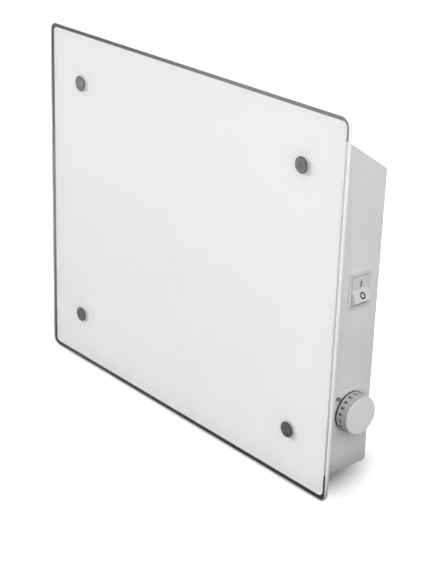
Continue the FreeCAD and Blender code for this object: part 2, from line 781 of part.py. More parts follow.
# Partition: sheet wall that keeps the wiring away from the hot air, flanged to the back wall
def make_partition():
    body = doc.addObject("PartDesign::Body", "partition_body")
    front = f"({CASING_FRONT} + sheet + partition_gap)"
    back = f"({INNER_BACK} - seat_gap)"
    low = f"{INNER_BOTTOM} + partition_gap"
    corner = f"({INNER_BACK} - bend_radius)"
    wall = sketch_on(body, "partition_wall", "YZ_Plane", "partition_x")
    outline(wall, [
        (front, low),
        (corner, low),
        (back, f"{low} + bend_radius"),
        (back, casing_top(back, "sheet + partition_gap + bend_radius")),
        (corner, casing_top(corner, "sheet + partition_gap")),
        (front, casing_top(front, "sheet + partition_gap")),
    ])
    pad(body, wall, "sheet")
    flange_height = f"{PARTITION_HIGH} - {PARTITION_LOW}"
    flange_spot = ("partition_x - partition_flange", f"{INNER_BACK} - sheet", PARTITION_LOW)
    flange = box("partition_foot", ("partition_flange + sheet", "sheet", flange_height), flange_spot)
    tools = []
    for number, (x, z) in enumerate(PARTITION_RIVETS):
        tools.append(drill(f"partition_rivet_hole_{number}", "y", RIVET_HOLE, (x, INNER_BACK, z)))
    tools.append(drill("bushing_hole", "x", BUSHING_HOLE, ("partition_x", ELEMENT_Y, ELEMENT_Z)))
    cup_hole = "cutout_cup_dia + 2 * seat_gap"
    tools.append(drill("cutout_hole", "x", cup_hole, ("partition_x", ELEMENT_Y, CUTOUT_Z)))
    for side in ("-", "+"):
        spot = ("partition_x", f"{ELEMENT_Y} {side} cutout_screw_pitch / 2", CUTOUT_Z)
        tools.append(drill(f"cutout_screw_hole_{len(tools)}", "x", SMALL_SCREW_HOLE, spot))
    node(cut("partition_piece", fuse("partition_blank", [body, flange]), tools), "partition")


# Heat shield: hat-shaped sheet that keeps the element's heat off the back wall
def make_heat_shield():
    body = doc.addObject("PartDesign::Body", "shield_body")
    section = sketch_on(body, "shield_section", "XY_Plane", SHIELD_BOTTOM)
    half = "shield_width / 2"
    foot = f"{half} + shield_foot"
    inner = f"{half} - shield_sheet"
    foot_face = f"{INNER_BACK} - shield_sheet"
    front = f"{INNER_BACK} - shield_standoff"
    back = f"{front} + shield_sheet"
    right = [
        (half, front), (half, foot_face), (foot, foot_face),
        (foot, INNER_BACK), (inner, INNER_BACK), (inner, back),
    ]
    left = [(f"-({x})", y) for x, y in reversed(right)]
    outline(section, right + left)
    pad(body, section, "shield_height")
    tools = [
        drill(f"shield_hole_{number}", "y", RIVET_HOLE, (x, INNER_BACK, z))
        for number, (x, z) in enumerate(SHIELD_RIVETS)
    ]
    node(cut("shield_piece", body, tools), "heat_shield")


# Rivets: each has a low head outside the back wall and a formed tail inside
def make_rivets():
    for name, (spots, thick) in RIVETS.items():
        grip = f"(-sheet - {thick})"
        rivet = turned(f"{name}_pattern", "y", [
            ("rivet_head", "0"),
            ("rivet_head", "rivet_head_dia / 2 - head_edge"),
            ("0", "rivet_head_dia / 2"),
            ("0", "rivet_dia / 2"),
            (grip, "rivet_dia / 2"),
            (grip, "rivet_tail_dia / 2"),
            (f"{grip} - rivet_tail", "rivet_tail_dia / 2"),
            (f"{grip} - rivet_tail", "0"),
        ])
        node(copies(f"{name}_set", rivet, [(x, CASING_BACK, z) for x, z in spots]), name)


# Heating element: finned aluminium profile on a heating rod, held by two ceramic bushings,
# one in the partition and one in an end bracket on the back wall
def make_element():
    body = doc.addObject("PartDesign::Body", "element_body")
    hub = sketch_on(body, "element_hub", "YZ_Plane")
    circle(hub, ("0", "0"), "element_hub_dia")
    pad(body, hub, "element_length")
    for name, reach, turn in (("long", "element_long_fin", 45), ("short", "element_short_fin", 0)):
        fins = sketch_on(body, f"element_{name}_fins", "YZ_Plane")
        fins.AttachmentOffset.Rotation = FreeCAD.Rotation(VECTOR(0, 0, 1), turn)
        thick, thin = "element_fin / 2", "-element_fin / 2"
        outline(fins, [
            (thick, thick), (thick, reach), (thin, reach), (thin, thick),
            (f"-{reach}", thick), (f"-{reach}", thin), (thin, thin), (thin, f"-{reach}"),
            (thick, f"-{reach}"), (thick, thin), (reach, thin), (reach, thick),
        ])
        pad(body, fins, "element_length")
    bore = sketch_on(body, "element_bore", "YZ_Plane", "element_length")
    circle(bore, ("0", "0"), "rod_dia + 2 * running_gap")
    pocket(body, bore, "element_length")
    place(body, "element_start", ELEMENT_Y, ELEMENT_Z)
    node(body, "element_profile")

    rod_start = "(end_bracket_x - bushing_neck - rod_end)"
    rod_stop = "(partition_x + bushing_neck + rod_end)"
    rod_length = f"{rod_stop} - {rod_start}"
    node(rod("heating_rod", "x", "rod_dia", rod_length, (rod_start, ELEMENT_Y, ELEMENT_Z)), "element_rod")
    pins = []
    for side in ("-", "+"):
        spot = (rod_stop, ELEMENT_Y, f"{ELEMENT_Z} {side} pin_pitch / 2")
        pins.append(rod(f"element_pin_{len(pins)}", "x", "pin_dia", "pin_length", spot))
    node(group("element_pin_set", pins), "element_pins")
    bore_radius = "rod_dia / 2 + running_gap"
    bushings = []
    for name, x, way in (("right", "partition_x", ""), ("left", "end_bracket_x", "-")):
        bushing = turned(f"bushing_{name}", "x", [
            (f"{way}(-bushing_flange)", bore_radius),
            (f"{way}(-bushing_flange)", "bushing_flange_dia / 2"),
            ("0", "bushing_flange_dia / 2"),
            ("0", "bushing_neck_dia / 2"),
            (f"{way}bushing_neck", "bushing_neck_dia / 2"),
            (f"{way}bushing_neck", bore_radius),
        ])
        place(bushing, x, ELEMENT_Y, ELEMENT_Z)
        bushings.append(bushing)
    node(group("bushing_set", bushings), "element_bushings")

    low = mid(ELEMENT_Z, "end_bracket_height")
    upright_spot = ("end_bracket_x - sheet", f"{INNER_BACK} - end_bracket_depth", low)
    upright = box("end_bracket_upright", ("sheet", "end_bracket_depth", "end_bracket_height"), upright_spot)
    foot_spot = ("end_bracket_x - sheet - end_bracket_foot", f"{INNER_BACK} - sheet", low)
    foot = box("end_bracket_base", ("end_bracket_foot + sheet", "sheet", "end_bracket_height"), foot_spot)
    tools = [drill("end_bushing_hole", "x", BUSHING_HOLE, ("end_bracket_x", ELEMENT_Y, ELEMENT_Z))]
    for number, (x, z) in enumerate(END_BRACKET_RIVETS):
        tools.append(drill(f"end_rivet_hole_{number}", "y", RIVET_HOLE, (x, INNER_BACK, z)))
    node(cut("end_bracket_piece", fuse("end_bracket_blank", [upright, foot]), tools), "element_bracket")


def blades(name, label, x, y, centre, pitch):
    """Pair of flat blades that point inwards from a face, one above the other."""
    pair = []
    for side in ("-", "+"):
        level = f"({centre} {side} {pitch} / 2)"
        spot = (x, mid(y, "blade_width"), mid(level, "blade_thick"))
        pair.append(box(f"{name}_{len(pair)}", ("blade_length", "blade_width", "blade_thick"), spot))
    node(group(f"{name}_pair", pair), label)
    return pair


# Overheat cut-out: metal cup through the partition, with ears for two screws, a moulded
# body behind it and two blades
def make_cutout():
    cup_spot = (f"{PARTITION_FACE} - cutout_cup", ELEMENT_Y, CUTOUT_Z)
    cup = rod("cutout_cup_disc", "x", "cutout_cup_dia", "cutout_cup", cup_spot)
    ear_spot = (PARTITION_FACE, mid(ELEMENT_Y, "cutout_ear_length"), mid(CUTOUT_Z, "cutout_ear_width"))
    ears = box("cutout_ears", ("cutout_plate", "cutout_ear_length", "cutout_ear_width"), ear_spot)
    disc = rod("cutout_disc", "x", "cutout_cup_dia", "cutout_plate", (PARTITION_FACE, ELEMENT_Y, CUTOUT_Z))
    holes = []
    screws = []
    screw = turned("cutout_screw", "x", [
        ("small_screw_head", "0"),
        ("small_screw_head", "small_screw_head_dia / 2 - head_edge"),
        ("small_screw_head - head_edge", "small_screw_head_dia / 2"),
        ("0", "small_screw_head_dia / 2"),
        ("0", "small_screw_dia / 2"),
        ("-cutout_plate - sheet - small_screw_end", "small_screw_dia / 2"),
        ("-cutout_plate - sheet - small_screw_end", "0"),
    ])
    for side in ("-", "+"):
        y = f"{ELEMENT_Y} {side} cutout_screw_pitch / 2"
        holes.append(drill(f"ear_hole_{len(holes)}", "x", SMALL_SCREW_HOLE, (PARTITION_FACE, y, CUTOUT_Z)))
        screws.append((f"{PARTITION_FACE} + cutout_plate", y, CUTOUT_Z))
    node(cut("cutout_cup_piece", fuse("cutout_cup_blank", [cup, ears, disc]), holes), "cutout_cup")
    node(copies("cutout_screw_set", screw, screws), "cutout_screws")
    body_start = f"({PARTITION_FACE} + cutout_plate)"
    body_spot = (body_start, ELEMENT_Y, CUTOUT_Z)
    node(rod("cutout_moulding", "x", "cutout_body_dia", "cutout_body", body_spot), "cutout_body")
    blade_x = f"{body_start} + cutout_body"
    return blades("cutout_blade", "cutout_blades", blade_x, ELEMENT_Y, CUTOUT_Z, "cutout_blade_pitch")


# Terminal block: moulded block with three wire ways, clamp screws and two fixing screws
def make_terminal_block():
    spot = (mid("block_x", "block_width"), f"{INNER_BACK} - block_depth", mid(BLOCK_Z, "block_tall"))
    blank = box("block_blank", ("block_width", "block_depth", "block_tall"), spot)
    front = f"{INNER_BACK} - block_depth"
    tools = []
    clamps = []
    well = "clamp_screw_dia + 2 * running_gap"
    for number, pole in enumerate(("- pole_spacing", "", "+ pole_spacing")):
        x = f"block_x {pole}"
        low = f"{mid(BLOCK_Z, 'block_tall')} - overrun"
        way = (x, f"{INNER_BACK} - block_depth / 2", low)
        tools.append(rod(f"wire_way_{number}", "z", "wire_way", "block_tall + 2 * overrun", way))
        for side in ("-", "+"):
            z = f"{BLOCK_Z} {side} clamp_screw_pitch / 2"
            depth = "clamp_screw_length + overrun"
            tools.append(rod(f"clamp_well_{len(tools)}", "y", well, depth, (x, f"{front} - overrun", z)))
            spot = (x, front, z)
            clamps.append(rod(f"clamp_{len(clamps)}", "y", "clamp_screw_dia", "clamp_screw_length", spot))
    screw = turned("block_screw", "y", [
        ("-small_screw_head", "0"),
        ("-small_screw_head", "small_screw_head_dia / 2 - head_edge"),
        ("head_edge - small_screw_head", "small_screw_head_dia / 2"),
        ("0", "small_screw_head_dia / 2"),
        ("0", "small_screw_dia / 2"),
        ("block_depth + sheet + small_screw_end", "small_screw_dia / 2"),
        ("block_depth + sheet + small_screw_end", "0"),
    ])
    for number, (x, z) in enumerate(BLOCK_SCREWS):
        length = "block_depth + 2 * overrun"
        spot = (x, f"{front} - overrun", z)
        tools.append(rod(f"block_way_{number}", "y", SMALL_SCREW_HOLE, length, spot))
    node(cut("block_piece", blank, tools), "terminal_block")
    node(group("clamp_set", clamps), "terminal_screws")
    node(copies("block_screw_set", screw, [(x, front, z) for x, z in BLOCK_SCREWS]), "block_screws")


# Earth point: stud welded to the back wall, with the lead's lug and a nut on it
def make_earth():
    stud = turned("earth_stud_turned", "y", [
        ("0", "0"),
        ("0", "earth_base_dia / 2"),
        ("-earth_base", "earth_base_dia / 2"),
        ("-earth_base", "earth_stud_dia / 2"),
        ("-earth_base - earth_stud_length", "earth_stud_dia / 2"),
        ("-earth_base - earth_stud_length", "0"),
    ])
    place(stud, EARTH_X, INNER_BACK, EARTH_Z)
    node(stud, "earth_stud")
    seat = f"({INNER_BACK} - earth_base)"
    plate_spot = (mid(EARTH_X, "lug_width"), f"{seat} - lug_thick", f"{EARTH_Z} - lug_below")
    tongue = box("lug_tongue", ("lug_width", "lug_thick", "lug_above + lug_below"), plate_spot)
    barrel_start = (EARTH_X, f"{seat} - lug_barrel_dia / 2", f"{EARTH_Z} - lug_below - lug_barrel")
    barrel = rod("lug_crimp", "z", "lug_barrel_dia", "lug_barrel + lug_thick", barrel_start)
    hole = "earth_stud_dia + 2 * running_gap"
    eye = drill("lug_eye", "y", hole, (EARTH_X, seat, EARTH_Z))
    node(cut("lug_piece", fuse("lug_blank", [tongue, barrel]), [eye]), "earth_lug")
    nut = hex_nut("earth_nut_body", "earth_nut_across", "earth_nut_height", hole, "XZ_Plane")
    place(nut, EARTH_X, f"{seat} - lug_thick", EARTH_Z)
    node(nut, "earth_nut")
    return barrel


# Cable gland: flanged bush in the back wall with a nut inside, where the mains cord enters
def make_gland():
    bush = turned("gland_bush", "y", [
        ("gland_flange", "gland_bore / 2"),
        ("gland_flange", "gland_flange_dia / 2 - head_edge"),
        ("gland_flange - head_edge", "gland_flange_dia / 2"),
        ("0", "gland_flange_dia / 2"),
        ("0", "gland_thread_dia / 2"),
        ("-gland_thread", "gland_thread_dia / 2"),
        ("-gland_thread", "gland_bore / 2"),
    ])
    place(bush, "block_x", CASING_BACK, GLAND_Z)
    node(bush, "cable_gland")
    bore = "gland_thread_dia + 2 * running_gap"
    nut = hex_nut("gland_nut_body", "gland_nut_across", "gland_nut_height", bore, "XZ_Plane")
    place(nut, "block_x", INNER_BACK, GLAND_Z)
    node(nut, "gland_nut")


# Rocker switch: moulded housing with a bezel, snapped into the side wall, and its blades
def make_switch():
    housing_spot = (f"{SIDE} - switch_depth", mid(CONTROL_Y, "switch_width"), mid(SWITCH_Z, "switch_tall"))
    housing = box("switch_shell", ("switch_depth", "switch_width", "switch_tall"), housing_spot)
    bezel = doc.addObject("PartDesign::Body", "bezel_body")
    frame = sketch_on(bezel, "bezel_frame", "YZ_Plane")
    outline(frame, rectangle("bezel_width", "bezel_height"))
    ring = pad(bezel, frame, "bezel_thick")
    thick = dims.get("bezel_thick")

    def bezel_rim(edge):
        return same(edge.BoundBox.XMin, thick)

    rounded(bezel, "Chamfer", ring, bezel_rim, "Size", "bezel_edge")
    place(bezel, SIDE, CONTROL_Y, SWITCH_Z)
    well = ("switch_well", "switch_opening_width", "switch_well_height")
    well_spot = (f"{SIDE} - switch_well", mid(CONTROL_Y, well[1]), mid(SWITCH_Z, well[2]))
    mouth = ("switch_well + overrun", "switch_opening_width", "switch_opening_height")
    mouth_spot = (f"{SIDE} - switch_well", mid(CONTROL_Y, mouth[1]), mid(SWITCH_Z, mouth[2]))
    hollow = [box("switch_room", well, well_spot), box("switch_mouth", mouth, mouth_spot)]
    reach = "rocker_width + 2 * rocker_pin + 2 * seat_gap"
    pivot = (f"{SIDE} - rocker_pivot_depth", mid(CONTROL_Y, reach), SWITCH_Z)
    pivot_holes = rod("rocker_pivot_holes", "y", "rocker_pin_dia + 2 * running_gap", reach, pivot)
    tools = [fuse("switch_space", hollow + [pivot_holes])]
    node(cut("switch_piece", fuse("switch_blank", [housing, bezel]), tools), "switch_housing")
    blade_x = f"{SIDE} - switch_depth - blade_length"
    return blades("switch_blade", "switch_blades", blade_x, CONTROL_Y, SWITCH_Z, "switch_blade_pitch")


# Rocker: moulded key with a hollow vee face and round ends, turning on two side pins
def make_rocker():
    body = doc.addObject("PartDesign::Body", "rocker_body")
    disc = sketch_on(body, "rocker_disc", "XZ_Plane")
    circle(disc, ("0", "0"), "2 * rocker_radius")
    pad(body, disc, "rocker_width", symmetric=True)
    face = sketch_on(body, "rocker_face", "XZ_Plane")
    rise = "rocker_valley + rocker_radius * tan(rocker_vee * 1 deg)"
    outline(face, [
        ("rocker_valley", "0"),
        (rise, "rocker_radius"),
        ("2 * rocker_radius", "rocker_radius"),
        ("2 * rocker_radius", "-rocker_radius"),
        (rise, "-rocker_radius"),
    ])
    pocket(body, face, "rocker_width", symmetric=True)
    back = sketch_on(body, "rocker_underside", "XZ_Plane")
    lift = "rocker_radius * tan(rocker_back * 1 deg) - rocker_hub"
    outline(back, [
        ("-rocker_hub", "0"),
        (lift, "rocker_radius"),
        ("-2 * rocker_radius", "rocker_radius"),
        ("-2 * rocker_radius", "-rocker_radius"),
        (lift, "-rocker_radius"),
    ])
    pocket(body, back, "rocker_width", symmetric=True)
    pins = sketch_on(body, "rocker_pins", "XZ_Plane")
    circle(pins, ("0", "0"), "rocker_pin_dia")
    pad(body, pins, "rocker_width + 2 * rocker_pin", symmetric=True)
    body.Placement = FreeCAD.Placement(VECTOR(), FreeCAD.Rotation(VECTOR(0, -1, 0), 1))
    bind(body, "Placement.Rotation.Angle", "rocker_tilt")
    place(body, f"{SIDE} - rocker_pivot_depth", CONTROL_Y, SWITCH_Z)
    node(body, "rocker")


# Thermostat: moulded body with a threaded bush through the side wall, held by a thin nut
def make_thermostat():
    extents = ("thermostat_depth", "thermostat_width", "thermostat_tall")
    spot = (f"{INNER_SIDE} - thermostat_depth", mid(CONTROL_Y, extents[1]), mid(KNOB_Z, extents[2]))
    block = box("thermostat_block", extents, spot)
    bush = rod("thermostat_bush", "x", "bush_dia", "bush_length", (INNER_SIDE, CONTROL_Y, KNOB_Z))
    bore_start = (f"{INNER_SIDE} - shaft_depth - seat_gap", CONTROL_Y, KNOB_Z)
    bore_length = "shaft_depth + seat_gap + bush_length + overrun"
    bore = rod("thermostat_bore", "x", "shaft_dia + 2 * running_gap", bore_length, bore_start)
    node(cut("thermostat_piece", fuse("thermostat_blank", [block, bush]), [bore]), "thermostat_body")
    nut_bore = "bush_dia + 2 * running_gap"
    nut = hex_nut("bush_nut", "bush_nut_across", "bush_nut_height", nut_bore, "YZ_Plane")
    place(nut, SIDE, CONTROL_Y, KNOB_Z)
    node(nut, "thermostat_nut")
    shaft_length = "shaft_depth + sheet + knob_gap + knob_length - knob_roof"
    shaft_spot = (f"{INNER_SIDE} - shaft_depth", CONTROL_Y, KNOB_Z)
    node(rod("thermostat_spindle", "x", "shaft_dia", shaft_length, shaft_spot), "thermostat_shaft")
    blade_x = f"{INNER_SIDE} - thermostat_depth - blade_length"
    pitch = "thermostat_blade_pitch"
    return blades("thermostat_blade", "thermostat_blades", blade_x, CONTROL_Y, KNOB_Z, pitch)


# Knob: hollow moulded cap, slightly tapered, pushed on the thermostat's shaft
def make_knob():
    roof = "(knob_gap + knob_length)"
    ceiling = f"({roof} - knob_roof)"
    hub_start = "(bush_length - sheet + knob_hub_gap)"
    shaft_bore = "shaft_dia / 2 + running_gap"
    knob = turned("knob_turned", "x", [
        (roof, "0"),
        (roof, "knob_front_dia / 2 - knob_edge"),
        (f"{roof} - knob_edge", "knob_front_dia / 2"),
        ("knob_gap", "knob_base_dia / 2"),
        ("knob_gap", "knob_base_dia / 2 - knob_wall"),
        (ceiling, "knob_front_dia / 2 - knob_wall"),
        (ceiling, "knob_hub_dia / 2"),
        (hub_start, "knob_hub_dia / 2"),
        (hub_start, shaft_bore),
        (ceiling, shaft_bore),
        (ceiling, "0"),
    ])
    place(knob, SIDE, CONTROL_Y, KNOB_Z)
    node(knob, "knob")


# Index pointer: small round stud with a short bar towards the knob, pinned into the side wall
def make_pointer():
    head = rod("pointer_stud", "x", "pointer_head_dia", "pointer_head", ("0", "pointer_radius", "0"))
    bar_start = "(knob_base_dia / 2 + pointer_clear)"
    bar_size = ("pointer_bar", f"pointer_radius - {bar_start}", "pointer_bar_width")
    bar = box("pointer_blade", bar_size, ("0", bar_start, "-pointer_bar_width / 2"))
    pin = rod("pointer_peg", "x", "pointer_pin_dia", "pointer_pin", ("-pointer_pin", "pointer_radius", "0"))
    pointer = fuse("pointer_piece", [head, bar, pin])
    pointer.Placement = FreeCAD.Placement(VECTOR(), FreeCAD.Rotation(VECTOR(1, 0, 0), 1))
    bind(pointer, "Placement.Rotation.Angle", "pointer_angle")
    place(pointer, SIDE, CONTROL_Y, KNOB_Z)
    node(pointer, "index_pointer")


def lead(label, points):
    """Insulated wire along straight runs, with an arc at each turn as large as the runs allow."""
    radius = dims.get("lead_dia") / 2
    edges = []
    start = points[0]
    for before, corner, after in zip(points, points[1:], points[2:]):
        into = (corner - before).normalize()
        out = (after - corner).normalize()
        half_turn = into.getAngle(out) / 2
        run = min((corner - before).Length, (after - corner).Length)
        bend = min(dims.get("lead_bend"), RUN_SHARE * run / math.tan(half_turn))
        set_back = bend * math.tan(half_turn)
        first = corner - into * set_back
        last = corner + out * set_back
        inward = (out - into).normalize()
        middle = corner + inward * (bend / math.cos(half_turn) - bend)
        edges.append(Part.LineSegment(start, first).toShape())
        edges.append(Part.Arc(first, middle, last).toShape())
        start = last
    edges.append(Part.LineSegment(start, points[-1]).toShape())
    path = Part.Wire(edges)
    direction = (points[1] - points[0]).normalize()
    section = Part.Wire([Part.Circle(points[0], direction, radius).toShape()])
    piece = doc.addObject("Part::Feature", f"{label}_tube")
    piece.Shape = path.makePipeShell([section], True, False)
    return node(piece, label)


RUN_SHARE = 0.45


# Inner leads: silicone-insulated wires between terminal block, switch, thermostat, cut-out
# and element, each along its own lane in the wiring side
def make_leads(switch_pair, thermostat_pair, cutout_pair, lug_barrel):
    doc.recompute()
    reach = dims.get("lead_reach")
    seat = dims.get("lead_seat")
    front_lane = -dims.get("wall_gap") - dims.get("element_setback") - dims.get("lead_front_lane") / 2
    back_lane = -dims.get("wall_gap") - dims.get("sheet") - dims.get("lead_back_lane")
    side = dims.get("glass_width") / 2 - dims.get("glass_side")
    partition_x = side - dims.get("wiring_width")
    block_x = side - dims.get("block_inset")
    screw_height = dims.get("glass_height") / 2 - dims.get("glass_drop")
    inner_lane = partition_x + dims.get("sheet") + dims.get("lead_inner_lane")
    outer_lane = side - dims.get("lead_outer_lane")
    element_z = dims.get("element_height") - screw_height
    element_y = -dims.get("wall_gap") - dims.get("element_setback")
    pin_end = partition_x + dims.get("bushing_neck") + dims.get("rod_end") + dims.get("pin_length")
    block_z = dims.get("block_height") - screw_height
    block_top = block_z + dims.get("block_tall") / 2
    way_y = -dims.get("wall_gap") - dims.get("sheet") - dims.get("block_depth") / 2

    def blade_end(blade, side):
        bounds = blade.Shape.BoundBox
        return VECTOR(bounds.XMin if side < 0 else bounds.XMax, bounds.Center.y, bounds.Center.z)

    def way(pole):
        return VECTOR(block_x + pole * dims.get("pole_spacing"), way_y, block_top - seat)

    def pin(side):
        return VECTOR(pin_end, element_y, element_z + side * dims.get("pin_pitch") / 2)

    out = VECTOR(reach, 0, 0)
    up = VECTOR(0, 0, reach + seat)
    switch_low, switch_high = (blade_end(blade, -1) for blade in switch_pair)
    thermostat_low, thermostat_high = (blade_end(blade, -1) for blade in thermostat_pair)
    cutout_low, cutout_high = (blade_end(blade, 1) for blade in cutout_pair)

    live_start = way(1)
    lead("lead_live", [
        live_start,
        live_start + up * 2,
        switch_low - out - up * 2,
        switch_low - out,
        switch_low,
    ])
    lead("lead_switched", [
        switch_high,
        switch_high - out,
        VECTOR(inner_lane, front_lane, switch_low.z),
        VECTOR(inner_lane, front_lane, thermostat_high.z + reach),
        thermostat_high - out,
        thermostat_high,
    ])
    far_lane = front_lane - dims.get("lead_inner_lane") / 2
    lead("lead_limited", [
        thermostat_low,
        thermostat_low - out,
        VECTOR(inner_lane, far_lane, thermostat_low.z + reach),
        VECTOR(inner_lane, far_lane, cutout_low.z - 2 * reach),
        VECTOR(outer_lane, far_lane, cutout_low.z - reach),
        cutout_low + out * 2,
        cutout_low,
    ])
    upper_pin = pin(1)
    lead("lead_heater", [
        cutout_high,
        cutout_high + out * 2,
        VECTOR(outer_lane, back_lane, cutout_high.z - 2 * reach),
        VECTOR(outer_lane, back_lane, upper_pin.z + 3 * reach),
        upper_pin + out * 2,
        upper_pin,
    ])
    lower_pin = pin(-1)
    neutral_start = way(0)
    lead("lead_neutral", [
        neutral_start,
        neutral_start + up,
        VECTOR(lower_pin.x + 2 * reach, (way_y + element_y) / 2, lower_pin.z),
        lower_pin + out,
        lower_pin,
    ])
    barrel = lug_barrel.Shape.BoundBox
    earth_end = VECTOR(barrel.Center.x, barrel.Center.y, barrel.ZMin)
    earth_start = way(-1)
    lead("lead_earth", [
        earth_start,
        VECTOR(earth_start.x, earth_start.y, (earth_start.z + earth_end.z) / 2),
        earth_end - VECTOR(0, 0, 2 * reach),
        earth_end,
    ])


make_wall_bracket()
make_casing()
make_front_plate()
make_front_glass()
make_glass_fixings()
make_partition()
make_heat_shield()
make_rivets()
make_element()
cutout_blades = make_cutout()
make_terminal_block()
barrel_of_lug = make_earth()
make_gland()
switch_blades = make_switch()
make_rocker()
thermostat_blades = make_thermostat()
make_knob()
make_pointer()
make_leads(switch_blades, thermostat_blades, cutout_blades, barrel_of_lug)
doc.recompute()

# Every object is sound before anything is written
for thing in doc.Objects:
    faults = {"Invalid", "Error"}.intersection(thing.State)
    if faults:
        raise RuntimeError(f"{thing.Name} is {faults}")
for thing in NODES:
    if thing.Shape.isNull() or not thing.Shape.isValid() or not thing.Shape.Solids:
        raise RuntimeError(f"{thing.Label} has no sound solid")

os.makedirs("parts", exist_ok=True)
for thing in NODES:
    thing.Shape.exportStep(f"parts/{thing.Label}.step")
    print(f"{thing.Label}: {len(thing.Shape.Solids)} solids, {thing.Shape.Volume:.1f} mm3")
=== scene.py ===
import math
import bpy
from mathutils import Matrix, Vector


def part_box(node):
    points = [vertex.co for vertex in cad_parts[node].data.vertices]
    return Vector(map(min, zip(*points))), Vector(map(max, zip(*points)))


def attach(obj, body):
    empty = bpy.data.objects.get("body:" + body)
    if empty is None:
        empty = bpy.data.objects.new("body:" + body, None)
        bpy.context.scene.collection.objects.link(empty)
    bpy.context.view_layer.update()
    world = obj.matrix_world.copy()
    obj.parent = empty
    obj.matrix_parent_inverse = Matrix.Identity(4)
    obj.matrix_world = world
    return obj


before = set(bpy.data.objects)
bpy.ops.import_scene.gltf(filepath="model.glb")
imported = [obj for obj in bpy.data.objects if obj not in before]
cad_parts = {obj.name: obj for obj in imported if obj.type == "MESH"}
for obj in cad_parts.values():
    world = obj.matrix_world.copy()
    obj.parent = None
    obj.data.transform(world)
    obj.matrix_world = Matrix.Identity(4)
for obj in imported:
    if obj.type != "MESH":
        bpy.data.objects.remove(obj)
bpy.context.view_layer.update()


# Wall bracket, casing and front plate: bent and welded sheet steel, powder coated white after forming.
# The bracket is screwed to the wall, the casing hangs on its hooks, and the plate closes the front.
COAT_CLOUD_MM = 70
COAT_PEEL_MM = 1.1
COAT_DARK, COAT_LIGHT = "#DFDFDF", "#E5E5E5"


def linear(code):
    """sRGB hex colour as linear red, green, blue and alpha."""
    parts = [int(code[i:i + 2], 16) / 255 for i in (1, 3, 5)]
    return [p / 12.92 if p <= 0.04045 else ((p + 0.055) / 1.055) ** 2.4 for p in parts] + [1.0]


def start_material(name):
    """Empty node material and its tree."""
    made = bpy.data.materials.new(name)
    made.use_nodes = True
    made.node_tree.nodes.clear()
    return made, made.node_tree


def add(tree, kind, settings=None, links=None, **options):
    """One shader node with its options, socket settings and incoming links."""
    made = tree.nodes.new("ShaderNode" + kind)
    for name, value in options.items():
        setattr(made, name, value)
    for socket, value in (settings or {}).items():
        made.inputs[socket].default_value = value
    for socket, output in (links or {}).items():
        tree.links.new(output, made.inputs[socket])
    return made


def per_mm(size):
    """Texture scale that gives features of a real size in millimetres."""
    return 1000.0 / size


def paint(material, *names):
    """Gives CAD nodes a material."""
    for name in names:
        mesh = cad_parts[name].data
        mesh.materials.clear()
        mesh.materials.append(material)


# Powder coat: even white with a fine orange-peel skin that softens highlights
powder, tree = start_material("white_powder_coat_satin")
spot = add(tree, "TexCoord").outputs["Object"]
cloud = add(tree, "TexNoise", {"Scale": per_mm(COAT_CLOUD_MM), "Detail": 3.0}, {"Vector": spot})
tone = add(tree, "ValToRGB", links={"Fac": cloud.outputs["Fac"]})
tone.color_ramp.elements[0].position = 0.3
tone.color_ramp.elements[0].color = linear(COAT_DARK)
tone.color_ramp.elements[1].position = 0.7
tone.color_ramp.elements[1].color = linear(COAT_LIGHT)
peel = add(tree, "TexNoise", {"Scale": per_mm(COAT_PEEL_MM), "Detail": 2.0}, {"Vector": spot})
skin = add(tree, "Bump", {"Strength": 0.12, "Distance": 0.0001}, {"Height": peel.outputs["Fac"]})
coat = add(tree, "BsdfPrincipled", {"Roughness": 0.46, "Specular IOR Level": 0.4},
           {"Base Color": tone.outputs["Color"], "Normal": skin.outputs["Normal"]})
add(tree, "OutputMaterial", links={"Surface": coat.outputs["BSDF"]})
paint(powder, "wall_bracket", "casing", "front_plate")

# Steel fixings and sheet inside the casing: screws, nuts, earth stud, partition and the end bracket of
# the element. They are pressed or turned from plain steel, with a bright zinc plating.
ZINC_CRYSTAL_MM = 6
ZINC_DARK, ZINC_LIGHT = "#A4A8AC", "#C4C8CC"
ZINC_SMOOTH, ZINC_DULL = 0.28, 0.45
# Zinc plating: cool grey metal whose crystals give patches of differing shine
zinc, tree = start_material("zinc_plated_steel_bright")
spot = add(tree, "TexCoord").outputs["Object"]
grains = add(tree, "TexVoronoi", {"Scale": per_mm(ZINC_CRYSTAL_MM)}, {"Vector": spot})
tone = add(tree, "ValToRGB", links={"Fac": grains.outputs["Color"]})
tone.color_ramp.elements[0].color = linear(ZINC_DARK)
tone.color_ramp.elements[1].color = linear(ZINC_LIGHT)
shine = add(tree, "MapRange", {"To Min": ZINC_SMOOTH, "To Max": ZINC_DULL},
            {"Value": grains.outputs["Color"]})
plating = add(tree, "BsdfPrincipled", {"Metallic": 1.0},
              {"Base Color": tone.outputs["Color"], "Roughness": shine.outputs["Result"]})
add(tree, "OutputMaterial", links={"Surface": plating.outputs["BSDF"]})
paint(zinc, "front_plate_screws", "weld_nuts", "partition", "element_bracket", "cutout_screws",
      "terminal_screws", "block_screws", "earth_stud", "earth_nut", "thermostat_nut")

# Front glass: toughened 4 mm float glass with rounded corners, ground edges and four drilled holes.
# The caps hold it on soft spacers in front of the plate.
GLASS_TINT = "#FDFDFD"
GLASS_IOR = 1.5
GROUND_GRIT_MM = 0.5
GROUND_DARK, GROUND_LIGHT = "#F2F2F2", "#FCFCFC"
POLISHED_FROM = 0.98
glass_low, glass_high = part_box("front_glass")
glass_middle = (glass_low + glass_high) / 2
glass_half_x = (glass_high.x - glass_low.x) / 2
glass_half_z = (glass_high.z - glass_low.z) / 2
